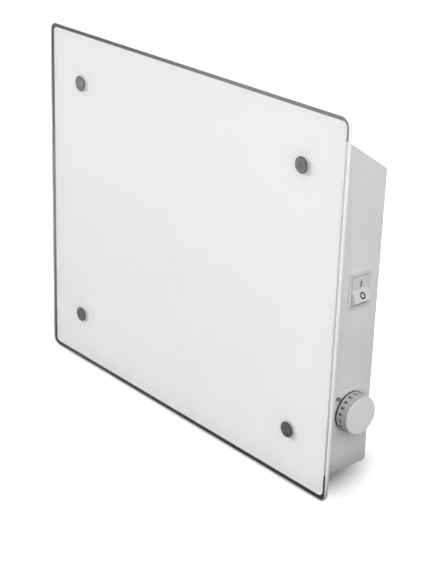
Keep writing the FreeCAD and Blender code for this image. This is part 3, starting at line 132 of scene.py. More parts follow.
# Glass: faces that look along Y are clear and polished; the rim is ground and scatters light, so it shows
# as a pale line. The grit is finer in life, and is drawn at half a millimetre so that it shows.
glass, tree = start_material("toughened_glass_clear_ground_rim")
shape = add(tree, "NewGeometry")
facing = add(tree, "SeparateXYZ", links={"Vector": shape.outputs["True Normal"]})
squareness = add(tree, "Math", links={0: facing.outputs["Y"]}, operation="ABSOLUTE")
polished = add(tree, "Math", {1: POLISHED_FROM}, {0: squareness.outputs["Value"]}, operation="GREATER_THAN")
spot = add(tree, "TexCoord").outputs["Object"]
clear = add(tree, "BsdfPrincipled", {"Base Color": linear(GLASS_TINT), "Roughness": 0.0, "IOR": GLASS_IOR,
                                     "Transmission Weight": 1.0})
grit = add(tree, "TexNoise", {"Scale": per_mm(GROUND_GRIT_MM), "Detail": 2.0}, {"Vector": spot})
ground_tone = add(tree, "ValToRGB", links={"Fac": grit.outputs["Fac"]})
ground_tone.color_ramp.elements[0].color = linear(GROUND_DARK)
ground_tone.color_ramp.elements[1].color = linear(GROUND_LIGHT)
ground = add(tree, "BsdfPrincipled", {"Roughness": 0.5, "IOR": GLASS_IOR, "Transmission Weight": 0.25},
             {"Base Color": ground_tone.outputs["Color"]})
surface = add(tree, "MixShader", links={0: polished.outputs["Value"], 1: ground.outputs["BSDF"],
                                        2: clear.outputs["BSDF"]})
add(tree, "OutputMaterial", links={"Surface": surface.outputs["Shader"]})
paint(glass, "front_glass")

# Print: white ceramic ink, screen printed and burnt into the back of the glass, so it lies just within
# the sheet. It leaves a clear margin round the edge and is open at the four drilled holes.
PRINT_MARGIN = 0.0054
PRINT_CORNER = 0.005
PRINT_CORNER_STEPS = 10
PRINT_THICK = 0.00004
HOLE_RADIUS = 0.0036
HOLE_STEPS = 48
CAP_INSET = 0.0525
INK_CLOUD_MM = 40
INK_DARK, INK_LIGHT = "#F1F1F1", "#F6F6F6"


def add_object(name, data):
    """Links a new object that holds a mesh, curve, lamp or camera."""
    made = bpy.data.objects.new(name, data)
    bpy.context.collection.objects.link(made)
    return made


def curve_piece(name, curve):
    """Object with the finished mesh of a curve or text, and no material yet."""
    holder = add_object(name + "_curve", curve)
    bpy.context.view_layer.update()
    drawn = holder.evaluated_get(bpy.context.evaluated_depsgraph_get())
    mesh = bpy.data.meshes.new_from_object(drawn)
    bpy.data.objects.remove(holder)
    mesh.materials.clear()
    return add_object(name, mesh)


def flat_piece(name, loops, thick):
    """Thin mesh in its own XY plane from closed loops; inner loops are holes."""
    curve = bpy.data.curves.new(name, "CURVE")
    curve.dimensions = "2D"
    curve.fill_mode = "BOTH"
    curve.extrude = thick / 2
    for loop in loops:
        spline = curve.splines.new("POLY")
        spline.points.add(len(loop) - 1)
        for point, (x, y) in zip(spline.points, loop):
            point.co = (x, y, 0, 1)
        spline.use_cyclic_u = True
    return curve_piece(name, curve)


def ring(x, y, radius_x, radius_y, steps):
    """Points of an ellipse about a centre."""
    turns = [2 * math.pi * i / steps for i in range(steps)]
    return [(x + radius_x * math.cos(turn), y + radius_y * math.sin(turn)) for turn in turns]


def round_rectangle(half_x, half_y, radius, steps):
    """Points of a rectangle with rounded corners."""
    points = []
    for corner, (side_x, side_y) in enumerate(((1, 1), (-1, 1), (-1, -1), (1, -1))):
        centre_x = side_x * (half_x - radius)
        centre_y = side_y * (half_y - radius)
        for i in range(steps + 1):
            turn = math.pi / 2 * (corner + i / steps)
            points.append((centre_x + radius * math.cos(turn), centre_y + radius * math.sin(turn)))
    return points


cap_x, cap_z = glass_half_x - CAP_INSET, glass_half_z - CAP_INSET
print_half_x, print_half_z = glass_half_x - PRINT_MARGIN, glass_half_z - PRINT_MARGIN
loops = [round_rectangle(print_half_x, print_half_z, PRINT_CORNER, PRINT_CORNER_STEPS)]
for side_x in (-1, 1):
    for side_z in (-1, 1):
        loops.append(ring(side_x * cap_x, side_z * cap_z, HOLE_RADIUS, HOLE_RADIUS, HOLE_STEPS))
print_layer = flat_piece("white_print", loops, PRINT_THICK)
upright = Matrix.Rotation(math.pi / 2, 4, "X")
place = Matrix.Translation((glass_middle.x, glass_high.y - PRINT_THICK, glass_middle.z))
print_layer.data.transform(place @ upright)
# Ceramic ink: dense flat white, with the slightest unevenness of a screen print
ink, tree = start_material("white_ceramic_ink_matt")
spot = add(tree, "TexCoord").outputs["Object"]
cloud = add(tree, "TexNoise", {"Scale": per_mm(INK_CLOUD_MM), "Detail": 4.0}, {"Vector": spot})
tone = add(tree, "ValToRGB", links={"Fac": cloud.outputs["Fac"]})
tone.color_ramp.elements[0].color = linear(INK_DARK)
tone.color_ramp.elements[1].color = linear(INK_LIGHT)
layer = add(tree, "BsdfPrincipled", {"Roughness": 0.7, "Specular IOR Level": 0.1},
            {"Base Color": tone.outputs["Color"]})
add(tree, "OutputMaterial", links={"Surface": layer.outputs["BSDF"]})
print_layer.data.materials.append(ink)
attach(print_layer, "heater")

# Glass caps: turned stainless steel heads, 14.6 mm across, on threaded shanks that pass through the glass
# into nuts on the plate. The rod and pins of the element and the thermostat's shaft are of the same steel.
LATHE_RING_MM = 0.25
SMEAR_MM = 6
STEEL_DARK, STEEL_LIGHT, STEEL_EDGE_SHADE = "#626262", "#929292", "#393939"
CAP_SHADE_START, CAP_SHADE_END = 0.0064, 0.0071
# Turned stainless: mid-grey metal with fine rings round each cap's centre, and painted shade that turns it
# dark grey at the rounded edge.
# The rings are finer in life, and are drawn a quarter of a millimetre apart so that they show.
stainless, tree = start_material("stainless_steel_turned_satin")
spot = add(tree, "TexCoord").outputs["Object"]
axes = add(tree, "SeparateXYZ", links={"Vector": spot})
across = add(tree, "Math", links={0: axes.outputs["X"]}, operation="ABSOLUTE")
along = add(tree, "Math", links={0: axes.outputs["Z"]}, operation="ABSOLUTE")
from_centre = add(tree, "CombineXYZ", links={"X": across.outputs["Value"], "Y": along.outputs["Value"]})
offset = add(tree, "VectorMath", {1: (cap_x, cap_z, 0)}, {0: from_centre.outputs["Vector"]},
             operation="SUBTRACT")
radius = add(tree, "VectorMath", links={0: offset.outputs["Vector"]}, operation="LENGTH")
rings = add(tree, "TexNoise", {"Scale": per_mm(LATHE_RING_MM), "Detail": 2.0},
            {"W": radius.outputs["Value"]}, noise_dimensions="1D")
lathe = add(tree, "Bump", {"Strength": 0.2, "Distance": 0.00005}, {"Height": rings.outputs["Fac"]})
smear = add(tree, "TexNoise", {"Scale": per_mm(SMEAR_MM), "Detail": 3.0}, {"Vector": spot})
patches = add(tree, "Math", links={0: rings.outputs["Fac"], 1: smear.outputs["Fac"]}, operation="MULTIPLY")
tone = add(tree, "ValToRGB", links={"Fac": patches.outputs["Value"]})
tone.color_ramp.elements[0].position = 0.12
tone.color_ramp.elements[0].color = linear(STEEL_DARK)
tone.color_ramp.elements[1].position = 0.42
tone.color_ramp.elements[1].color = linear(STEEL_LIGHT)
# Painted shade: dark grey from 6.4 mm out from each cap's centre, on the caps' rounded edges and on all
# steel farther off
edge = add(tree, "MapRange", {"From Min": CAP_SHADE_START, "From Max": CAP_SHADE_END},
           {"Value": radius.outputs["Value"]})
steel_with_edge_shade = add(tree, "Mix", {"B": linear(STEEL_EDGE_SHADE)},
             {"Factor": edge.outputs["Result"], "A": tone.outputs["Color"]}, data_type="RGBA")
steel = add(tree, "BsdfPrincipled", {"Metallic": 1.0, "Roughness": 0.38},
            {"Base Color": steel_with_edge_shade.outputs["Result"], "Normal": lathe.outputs["Normal"]})
add(tree, "OutputMaterial", links={"Surface": steel.outputs["BSDF"]})
paint(stainless, "glass_caps", "element_rod", "element_pins", "thermostat_shaft")

# Cap washers and glass spacers: clear nylon rings, punched from sheet, under the caps, and moulded black
# rubber sleeves that line the glass's holes and keep it off the steel.
NYLON_HAZE_MM = 3
NYLON_DARK, NYLON_LIGHT = "#D9DAD8", "#E8E9E7"
RUBBER_BLOOM_MM = 4
RUBBER_DARK, RUBBER_LIGHT = "#1A1A1A", "#2C2C2B"
# Nylon: milky translucent white
nylon, tree = start_material("clear_nylon_smooth")
spot = add(tree, "TexCoord").outputs["Object"]
haze = add(tree, "TexNoise", {"Scale": per_mm(NYLON_HAZE_MM)}, {"Vector": spot})
tone = add(tree, "ValToRGB", links={"Fac": haze.outputs["Fac"]})
tone.color_ramp.elements[0].color = linear(NYLON_DARK)
tone.color_ramp.elements[1].color = linear(NYLON_LIGHT)
plastic = add(tree, "BsdfPrincipled", {"Roughness": 0.3, "Transmission Weight": 0.3},
              {"Base Color": tone.outputs["Color"]})
add(tree, "OutputMaterial", links={"Surface": plastic.outputs["BSDF"]})
paint(nylon, "cap_washers")
# Rubber: near-black with a dusty bloom
rubber, tree = start_material("black_rubber_matt")
spot = add(tree, "TexCoord").outputs["Object"]
bloom = add(tree, "TexNoise", {"Scale": per_mm(RUBBER_BLOOM_MM), "Detail": 4.0}, {"Vector": spot})
tone = add(tree, "ValToRGB", links={"Fac": bloom.outputs["Fac"]})
tone.color_ramp.elements[0].color = linear(RUBBER_DARK)
tone.color_ramp.elements[1].color = linear(RUBBER_LIGHT)
sleeve = add(tree, "BsdfPrincipled", {"Roughness": 0.75}, {"Base Color": tone.outputs["Color"]})
add(tree, "OutputMaterial", links={"Surface": sleeve.outputs["BSDF"]})
paint(rubber, "glass_spacers")

# Heat shield, element profile, cut-out cup and all rivets: aluminium sheet, extrusion and drawn wire,
# left bare. The profile's fins run along the casing and warm the rising air.
DRAWN_LINE_MM = 0.6
DRAWN_SHARE = (0.02, 1.0, 1.0)
ALUMINIUM_DARK, ALUMINIUM_LIGHT = "#B4B6B8", "#D2D4D6"
# Bare aluminium: pale grey metal, drawn out in fine lines along X.
# The lines are finer in life, and are drawn 0.6 mm apart so that they show.
aluminium, tree = start_material("bare_aluminium_mill_finish")
spot = add(tree, "TexCoord").outputs["Object"]
stretch = add(tree, "Mapping", {"Scale": DRAWN_SHARE}, {"Vector": spot})
lines = add(tree, "TexNoise", {"Scale": per_mm(DRAWN_LINE_MM), "Detail": 3.0},
            {"Vector": stretch.outputs["Vector"]})
tone = add(tree, "ValToRGB", links={"Fac": lines.outputs["Fac"]})
tone.color_ramp.elements[0].color = linear(ALUMINIUM_DARK)
tone.color_ramp.elements[1].color = linear(ALUMINIUM_LIGHT)
drawn = add(tree, "Bump", {"Strength": 0.15, "Distance": 0.00005}, {"Height": lines.outputs["Fac"]})
metal = add(tree, "BsdfPrincipled", {"Metallic": 1.0, "Roughness": 0.36},
            {"Base Color": tone.outputs["Color"], "Normal": drawn.outputs["Normal"]})
add(tree, "OutputMaterial", links={"Surface": metal.outputs["BSDF"]})
paint(aluminium, "heat_shield", "element_profile", "cutout_cup", "shield_rivets", "partition_rivets",
      "end_bracket_rivets")

# Element bushings: steatite, a ceramic that is pressed, fired and glazed.
# One sits in the partition and one in the end bracket, and together they hold the heating rod.
STEATITE_SPECK_MM = 0.8
STEATITE_SPECK, STEATITE_CREAM = "#A89F8E", "#E6E0D2"
# Steatite: creamy white with a few dark specks under the glaze
steatite, tree = start_material("steatite_glazed_cream")
spot = add(tree, "TexCoord").outputs["Object"]
specks = add(tree, "TexNoise", {"Scale": per_mm(STEATITE_SPECK_MM), "Detail": 1.0}, {"Vector": spot})
tone = add(tree, "ValToRGB", links={"Fac": specks.outputs["Fac"]})
tone.color_ramp.elements[0].position = 0.25
tone.color_ramp.elements[0].color = linear(STEATITE_SPECK)
tone.color_ramp.elements[1].position = 0.36
tone.color_ramp.elements[1].color = linear(STEATITE_CREAM)
ceramic = add(tree, "BsdfPrincipled", {"Roughness": 0.3}, {"Base Color": tone.outputs["Color"]})
add(tree, "OutputMaterial", links={"Surface": ceramic.outputs["BSDF"]})
paint(steatite, "element_bushings")

# Cut-out body and thermostat body: moulded from phenolic, which stands the heat.
# The cut-out is screwed to the partition, and the thermostat is held in the side wall by its nut.
PHENOLIC_FILLER_MM = 1.5
PHENOLIC_DARK, PHENOLIC_LIGHT = "#1C1917", "#35302B"
# Phenolic: brown-black with a faint mottling of its filler
phenolic, tree = start_material("phenolic_moulding_black")
spot = add(tree, "TexCoord").outputs["Object"]
filler = add(tree, "TexNoise", {"Scale": per_mm(PHENOLIC_FILLER_MM), "Detail": 5.0}, {"Vector": spot})
tone = add(tree, "ValToRGB", links={"Fac": filler.outputs["Fac"]})
tone.color_ramp.elements[0].color = linear(PHENOLIC_DARK)
tone.color_ramp.elements[1].color = linear(PHENOLIC_LIGHT)
moulding = add(tree, "BsdfPrincipled", {"Roughness": 0.5}, {"Base Color": tone.outputs["Color"]})
add(tree, "OutputMaterial", links={"Surface": moulding.outputs["BSDF"]})
paint(phenolic, "cutout_body", "thermostat_body")

# Blades and earth lug: stamped from brass strip and tinned.
# The blades sit in the switch, the thermostat and the cut-out, and the lug lies under the earth nut.
BRASS_WEAR_MM = 2.5
BRASS_YELLOW, BRASS_TIN = "#C9A65A", "#CFCBBE"
# Tinned brass: soft yellow-grey metal with worn patches
brass, tree = start_material("tinned_brass_stamped")
spot = add(tree, "TexCoord").outputs["Object"]
wear = add(tree, "TexNoise", {"Scale": per_mm(BRASS_WEAR_MM), "Detail": 3.0}, {"Vector": spot})
tone = add(tree, "ValToRGB", links={"Fac": wear.outputs["Fac"]})
tone.color_ramp.elements[0].color = linear(BRASS_YELLOW)
tone.color_ramp.elements[1].color = linear(BRASS_TIN)
contact = add(tree, "BsdfPrincipled", {"Metallic": 1.0, "Roughness": 0.34},
              {"Base Color": tone.outputs["Color"]})
add(tree, "OutputMaterial", links={"Surface": contact.outputs["BSDF"]})
paint(brass, "cutout_blades", "switch_blades", "thermostat_blades", "earth_lug")

# Terminal block, cable gland, switch housing and rocker: injection-moulded white plastic.
# The switch snaps into the side wall, the block is screwed to the back wall, and the gland is held there
# by its nut.
PLASTIC_CLOUD_MM = 12
PLASTIC_GRAIN_MM = 0.35
PLASTIC_DARK, PLASTIC_LIGHT = "#D2D2D2", "#D9D9D9"
# White plastic: slightly greyer than the casing, with the fine grain of a spark-eroded mould.
# The grain is finer in life, and is drawn at a third of a millimetre so that it shows.
white_plastic, tree = start_material("white_plastic_fine_grain")
spot = add(tree, "TexCoord").outputs["Object"]
cloud = add(tree, "TexNoise", {"Scale": per_mm(PLASTIC_CLOUD_MM), "Detail": 2.0}, {"Vector": spot})
tone = add(tree, "ValToRGB", links={"Fac": cloud.outputs["Fac"]})
tone.color_ramp.elements[0].color = linear(PLASTIC_DARK)
tone.color_ramp.elements[1].color = linear(PLASTIC_LIGHT)
grain = add(tree, "TexNoise", {"Scale": per_mm(PLASTIC_GRAIN_MM), "Detail": 1.0}, {"Vector": spot})
texture = add(tree, "Bump", {"Strength": 0.06, "Distance": 0.00005}, {"Height": grain.outputs["Fac"]})
shell = add(tree, "BsdfPrincipled", {"Roughness": 0.42},
            {"Base Color": tone.outputs["Color"], "Normal": texture.outputs["Normal"]})
add(tree, "OutputMaterial", links={"Surface": shell.outputs["BSDF"]})
paint(white_plastic, "terminal_block", "cable_gland", "gland_nut", "switch_housing", "rocker")

# Marks on the rocker: a bar on the upper half and a ring on the lower half, for on and off.
# They are pad printed in dark grey ink on the two slopes of the rocker's hollow face.
PIVOT = Vector((0.1896, -0.0443, 0.0138))
ROCKER_TILT = math.radians(14)
ROCKER_VEE = math.radians(14.5)
ROCKER_VALLEY = 0.0057
MARK_THICK = 0.00004
MARK_SHIFT = 0.0007
BAR_HALF_X, BAR_HALF_Z = 0.00062, 0.0030
BAR_DISTANCE = 0.0046
RING_OUTER_X, RING_OUTER_Z = 0.0030, 0.0032
RING_INNER_X, RING_INNER_Z = 0.0017, 0.0019
RING_DISTANCE = 0.0062
RING_STEPS = 40
PAD_COVER_MM = 0.6
PAD_DARK, PAD_LIGHT = "#0C0C0D", "#161617"
# Pad print: dark grey with slightly uneven cover
pad_ink, tree = start_material("dark_grey_pad_print")
spot = add(tree, "TexCoord").outputs["Object"]
cover = add(tree, "TexNoise", {"Scale": per_mm(PAD_COVER_MM)}, {"Vector": spot})
tone = add(tree, "ValToRGB", links={"Fac": cover.outputs["Fac"]})
tone.color_ramp.elements[0].color = linear(PAD_DARK)
tone.color_ramp.elements[1].color = linear(PAD_LIGHT)
dye = add(tree, "BsdfPrincipled", {"Roughness": 0.55, "Specular IOR Level": 0.2},
          {"Base Color": tone.outputs["Color"]})
add(tree, "OutputMaterial", links={"Surface": dye.outputs["BSDF"]})


def lay(piece, right, up, normal, at):
    """Moves a flat mesh from its own XY plane to a place on a surface."""
    turn = Matrix((right, up, normal)).transposed().to_4x4()
    piece.data.transform(Matrix.Translation(at) @ turn)


tilt = Matrix.Rotation(ROCKER_TILT, 3, (0, -1, 0))
bar = [(-BAR_HALF_X, -BAR_HALF_Z), (BAR_HALF_X, -BAR_HALF_Z), (BAR_HALF_X, BAR_HALF_Z),
       (-BAR_HALF_X, BAR_HALF_Z)]
outer = ring(0, 0, RING_OUTER_X, RING_OUTER_Z, RING_STEPS)
inner = ring(0, 0, RING_INNER_X, RING_INNER_Z, RING_STEPS)
marks = (
    ("mark_on", [bar], 1, BAR_DISTANCE),
    ("mark_off", [outer, inner], -1, RING_DISTANCE),
)
for name, loops, way, distance in marks:
    mark = flat_piece(name, loops, MARK_THICK)
    slope = Vector((math.sin(ROCKER_VEE), 0, way * math.cos(ROCKER_VEE)))
    normal = Vector((math.cos(ROCKER_VEE), 0, -way * math.sin(ROCKER_VEE)))
    at = Vector((ROCKER_VALLEY, MARK_SHIFT, 0)) + slope * distance + normal * MARK_THICK
    up = way * (tilt @ slope)
    facing_out = tilt @ normal
    lay(mark, up.cross(facing_out), up, facing_out, PIVOT + tilt @ at)
    mark.data.materials.append(pad_ink)
    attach(mark, "rocker")

# Knob: hollow moulded cap of white plastic, slightly tapered, pushed on the thermostat's shaft.
# Its rim is a light grey, painted as shade on the sides that face away from X.
KNOB_RIM_SHADE, KNOB_FACE = "#BDBDBD", "#EEEEEE"
FACE_START, FACE_END = 0.55, 0.85
# Knob plastic: the white of the face turns to a light grey on the rim, as painted shade.
# Its grain is that of the switch, drawn just as coarse.
knob_plastic, tree = start_material("white_plastic_painted_rim_shade")
shape = add(tree, "NewGeometry")
facing = add(tree, "SeparateXYZ", links={"Vector": shape.outputs["Normal"]})
# Painted shade: where the normal turns away from X, the plastic takes the light grey instead of the white
face = add(tree, "MapRange", {"From Min": FACE_START, "From Max": FACE_END}, {"Value": facing.outputs["X"]})
spot = add(tree, "TexCoord").outputs["Object"]
grain = add(tree, "TexNoise", {"Scale": per_mm(PLASTIC_GRAIN_MM), "Detail": 1.0}, {"Vector": spot})
tone = add(tree, "Mix", {"A": linear(KNOB_RIM_SHADE), "B": linear(KNOB_FACE)},
           {"Factor": face.outputs["Result"]}, data_type="RGBA")
texture = add(tree, "Bump", {"Strength": 0.06, "Distance": 0.00005}, {"Height": grain.outputs["Fac"]})
cap = add(tree, "BsdfPrincipled", {"Roughness": 0.42},
          {"Base Color": tone.outputs["Result"], "Normal": texture.outputs["Normal"]})
add(tree, "OutputMaterial", links={"Surface": cap.outputs["BSDF"]})
paint(knob_plastic, "knob")

# Dial figures: 0 to 9 round the knob's rim, with their tops to the front.
# They are pad printed on the grey rim in the ink of the rocker's marks.
KNOB_CENTRE = Vector((0.1935, -0.0443, -0.101))
FIGURE_COUNT = 10
FIGURE_X = 0.0061
FIGURE_SIZE = 0.0048
FIGURE_BOLD = 0.00021
FIGURE_STEP = math.radians(18.5)
# At rest this figure stands beside the index pointer
SET_FIGURE = 4
SET_TURN = math.radians(131)
RIM_BASE, RIM_FRONT, RIM_START, RIM_END = 0.0188, 0.01785, 0.0012, 0.0135
taper = math.atan((RIM_BASE - RIM_FRONT) / (RIM_END - RIM_START))
rim_radius = RIM_BASE - (FIGURE_X - RIM_START) * math.tan(taper) + MARK_THICK
for figure in range(FIGURE_COUNT):
    text = bpy.data.curves.new(f"dial_{figure}", "FONT")
    text.body = str(figure)
    text.size = FIGURE_SIZE
    text.offset = FIGURE_BOLD
    text.align_x = "CENTER"
    text.align_y = "CENTER"
    text.extrude = MARK_THICK / 2
    piece = curve_piece(f"dial_{figure}", text)
    turn = SET_TURN + (figure - SET_FIGURE) * FIGURE_STEP
    outward = Vector((0, math.cos(turn), math.sin(turn)))
    up = Vector((math.cos(taper), 0, 0)) - outward * math.sin(taper)
    normal = Vector((math.sin(taper), 0, 0)) + outward * math.cos(taper)
    at = KNOB_CENTRE + Vector((FIGURE_X, 0, 0)) + outward * rim_radius
    lay(piece, up.cross(normal), up, normal, at)
    piece.data.materials.append(pad_ink)
    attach(piece, "knob")

# Foot shade: a dark band round the rim where the knob ends, just off the side wall, painted as the shade in
# the gap under the knob.
# It is a closed band in the pad ink of the figures that stands a little proud of the plastic.
FOOT_SHADE_WIDTH = 0.0012
FOOT_STEPS = 120


def mesh_piece(name, points, faces):
    """Object with a mesh of the given points and faces."""
    mesh = bpy.data.meshes.new(name)
    mesh.from_pydata(points, [], faces)
    return add_object(name, mesh)


shade_end = RIM_START + FOOT_SHADE_WIDTH
band = [(RIM_START, 0), (shade_end, 0), (shade_end, MARK_THICK), (RIM_START, MARK_THICK)]
sides = len(band)
points = []
for i in range(FOOT_STEPS):
    turn = 2 * math.pi * i / FOOT_STEPS
    for x, proud in band:
        radius = RIM_BASE - (x - RIM_START) * math.tan(taper) + proud + MARK_THICK / 2
        points.append(KNOB_CENTRE + Vector((x, radius * math.cos(turn), radius * math.sin(turn))))
faces = []
for i in range(FOOT_STEPS):
    here, there = sides * i, sides * ((i + 1) % FOOT_STEPS)
    for side in range(sides):
        after = (side + 1) % sides
        faces.append((here + side, there + side, there + after, here + after))
line = mesh_piece("painted_foot_shade", points, faces)
# The foot shade takes the dark pad ink of the marks, painted where the gap under the knob is in shade
line.data.materials.append(pad_ink)
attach(line, "knob")

# Index pointer: small round stud with a short bar towards the knob, moulded in grey plastic.
# Its peg is pushed into the side wall, and the figure beside it is the one that is set.
POINTER_GRAIN_MM = 0.4
POINTER_DARK, POINTER_LIGHT = "#6E6F71", "#88898B"
# Grey plastic: mid-grey with a fine grain, drawn coarser than life so that it shows
grey_plastic, tree = start_material("grey_plastic_fine_grain")
spot = add(tree, "TexCoord").outputs["Object"]
grain = add(tree, "TexNoise", {"Scale": per_mm(POINTER_GRAIN_MM), "Detail": 1.0}, {"Vector": spot})
tone = add(tree, "ValToRGB", links={"Fac": grain.outputs["Fac"]})
tone.color_ramp.elements[0].color = linear(POINTER_DARK)
tone.color_ramp.elements[1].color = linear(POINTER_LIGHT)
stud = add(tree, "BsdfPrincipled", {"Roughness": 0.45}, {"Base Color": tone.outputs["Color"]})
add(tree, "OutputMaterial", links={"Surface": stud.outputs["BSDF"]})
paint(grey_plastic, "index_pointer")

# Inner leads: stranded copper wires in silicone insulation, with a colour for each duty.
# They are pushed on the blades and pins, clamped in the block or held by the earth lug.
LEAD_CHALK_MM = 5
LEAD_COLOURS = {
    "brown": ("#4A2A18", "#5E3822", ["lead_live"]),
    "white": ("#CFCDC6", "#DEDCD5", ["lead_switched", "lead_limited", "lead_heater"]),
    "blue": ("#1F3C78", "#2B4C8E", ["lead_neutral"]),
    "green": ("#5B8A22", "#B9B83A", ["lead_earth"]),
}
# Silicone: dull soft colour, a little chalky
for colour, (dark, light, leads) in LEAD_COLOURS.items():
    silicone, tree = start_material(f"{colour}_silicone_insulation")
    spot = add(tree, "TexCoord").outputs["Object"]
    chalk = add(tree, "TexNoise", {"Scale": per_mm(LEAD_CHALK_MM), "Detail": 3.0}, {"Vector": spot})
    tone = add(tree, "ValToRGB", links={"Fac": chalk.outputs["Fac"]})
    tone.color_ramp.elements[0].position = 0.42
    tone.color_ramp.elements[0].color = linear(dark)
    tone.color_ramp.elements[1].position = 0.58
    tone.color_ramp.elements[1].color = linear(light)
    jacket = add(tree, "BsdfPrincipled", {"Roughness": 0.6}, {"Base Color": tone.outputs["Color"]})
    add(tree, "OutputMaterial", links={"Surface": jacket.outputs["BSDF"]})
    paint(silicone, *leads)

# Floor: a wide pale sheet of studio paper under the glass's lower edge, not part of the heater.
# It takes the soft shadow and shows white to the camera, to mirrors and through glass; the white glow is
# left out round the heater, which paints part of the shadow.
FLOOR_Z = glass_low.z
FLOOR_HALF = 12.0
PAPER_UNSEEN, PAPER_SEEN = "#505050", "#F2F2F2"
# Rays that light the print through the glass get this share of the white
PRINT_SHARE = 0.6
# The white glow sets in past an ellipse round the heater, first fast and then slowly, as painted shadow
SHADOW_CENTRE = (0.0, -0.045, FLOOR_Z)
SHADOW_REACH = (0.2, 0.12, 1.0)
SHADOW_START, SHADOW_END, SHADOW_LIFT = 0.87, 1.08, 0.56
OPEN_START, OPEN_END, OPEN_LIFT = 1.05, 1.35, 0.44
# It also sets in before the glass and towards the wall, at the painted shadow's ends
FRONT_START, FRONT_END = -0.083, -0.092
BACK_START, BACK_END = -0.03, 0.08
# Painted reflection: a mirror shows the floor darker near the foot of the control side and pale far from it
MIRROR_CENTRE = (0.176, -0.043, FLOOR_Z)
MIRROR_NEAR, MIRROR_FAR, MIRROR_REACH = 0.22, 0.95, 1.2


def studio_rays(tree):
    """Light Path node, the rays that light the print, and the share of white that each ray is shown."""
    path = add(tree, "LightPath")
    through = path.outputs["Is Transmission Ray"]
    direct = add(tree, "Math", links={0: path.outputs["Is Camera Ray"], 1: path.outputs["Is Glossy Ray"]},
                 operation="MAXIMUM")
    seen = add(tree, "Math", links={0: direct.outputs["Value"], 1: through}, operation="MAXIMUM")
    scattered = add(tree, "Math", {1: 1.0}, {0: path.outputs["Diffuse Depth"]}, operation="MINIMUM")
    print_ray = add(tree, "Math", links={0: through, 1: scattered.outputs["Value"]}, operation="MULTIPLY")
    held = add(tree, "MapRange", {"To Min": 1.0, "To Max": PRINT_SHARE},
               {"Value": print_ray.outputs["Value"]})
    shown = add(tree, "Math", links={0: seen.outputs["Value"], 1: held.outputs["Result"]},
                operation="MULTIPLY")
    return path, print_ray, shown


corners = [(-FLOOR_HALF, -FLOOR_HALF, FLOOR_Z), (FLOOR_HALF, -FLOOR_HALF, FLOOR_Z),
           (FLOOR_HALF, FLOOR_HALF, FLOOR_Z), (-FLOOR_HALF, FLOOR_HALF, FLOOR_Z)]
floor = mesh_piece("studio_floor", corners, [(0, 1, 2, 3)])
# Studio paper: even matt white, darker for the light that it throws back on the heater
sweep, tree = start_material("studio_paper_white")
path, print_ray, shown = studio_rays(tree)
spot = add(tree, "TexCoord").outputs["Object"]
# Painted shadow: the glow is taken away in an ellipse round the heater
shadow_offset = add(tree, "VectorMath", {1: SHADOW_CENTRE}, {0: spot}, operation="SUBTRACT")
shadow_share = add(tree, "VectorMath", {1: SHADOW_REACH}, {0: shadow_offset.outputs["Vector"]},
                   operation="DIVIDE")
shadow_reach = add(tree, "VectorMath", links={0: shadow_share.outputs["Vector"]}, operation="LENGTH")
beside = add(tree, "MapRange", {"From Min": SHADOW_START, "From Max": SHADOW_END, "To Max": SHADOW_LIFT},
             {"Value": shadow_reach.outputs["Value"]}, interpolation_type="SMOOTHSTEP")
beyond = add(tree, "MapRange", {"From Min": OPEN_START, "From Max": OPEN_END, "To Max": OPEN_LIFT},
             {"Value": shadow_reach.outputs["Value"]})
outside = add(tree, "Math", links={0: beside.outputs["Result"], 1: beyond.outputs["Result"]},
              operation="ADD")
floor_axes = add(tree, "SeparateXYZ", links={"Vector": spot})
before = add(tree, "MapRange", {"From Min": FRONT_START, "From Max": FRONT_END},
             {"Value": floor_axes.outputs["Y"]})
behind = add(tree, "MapRange", {"From Min": BACK_START, "From Max": BACK_END},
             {"Value": floor_axes.outputs["Y"]}, interpolation_type="SMOOTHSTEP")
past = add(tree, "Math", links={0: before.outputs["Result"], 1: behind.outputs["Result"]},
           operation="MAXIMUM")
fade = add(tree, "Math", links={0: outside.outputs["Value"], 1: past.outputs["Value"]}, operation="MAXIMUM")
# Painted reflection: the glow that mirrors see is dimmed near the control side's foot
away = add(tree, "VectorMath", {1: MIRROR_CENTRE}, {0: spot}, operation="DISTANCE")
sheen = add(tree, "MapRange", {"From Max": MIRROR_REACH, "To Min": MIRROR_NEAR, "To Max": MIRROR_FAR},
            {"Value": away.outputs["Value"]})
mirrored = add(tree, "Math", links={0: path.outputs["Is Glossy Ray"], 1: print_ray.outputs["Value"]},
               operation="SUBTRACT", use_clamp=True)
level = add(tree, "Mix", links={"Factor": mirrored.outputs["Value"], "A": fade.outputs["Value"],
                                "B": sheen.outputs["Result"]})
lift = add(tree, "Math", links={0: shown.outputs["Value"], 1: level.outputs["Result"]},
           operation="MULTIPLY")
sheet_tone = add(tree, "Mix", {"A": linear(PAPER_UNSEEN), "B": linear(PAPER_SEEN)},
                 {"Factor": path.outputs["Is Camera Ray"]}, data_type="RGBA")
paper = add(tree, "BsdfDiffuse", links={"Color": sheet_tone.outputs["Result"]})
glow = add(tree, "Emission", links={"Strength": lift.outputs["Value"]})
both = add(tree, "AddShader", links={0: paper.outputs["BSDF"], 1: glow.outputs["Emission"]})
add(tree, "OutputMaterial", links={"Surface": both.outputs["Shader"]})
floor.data.materials.append(sweep)

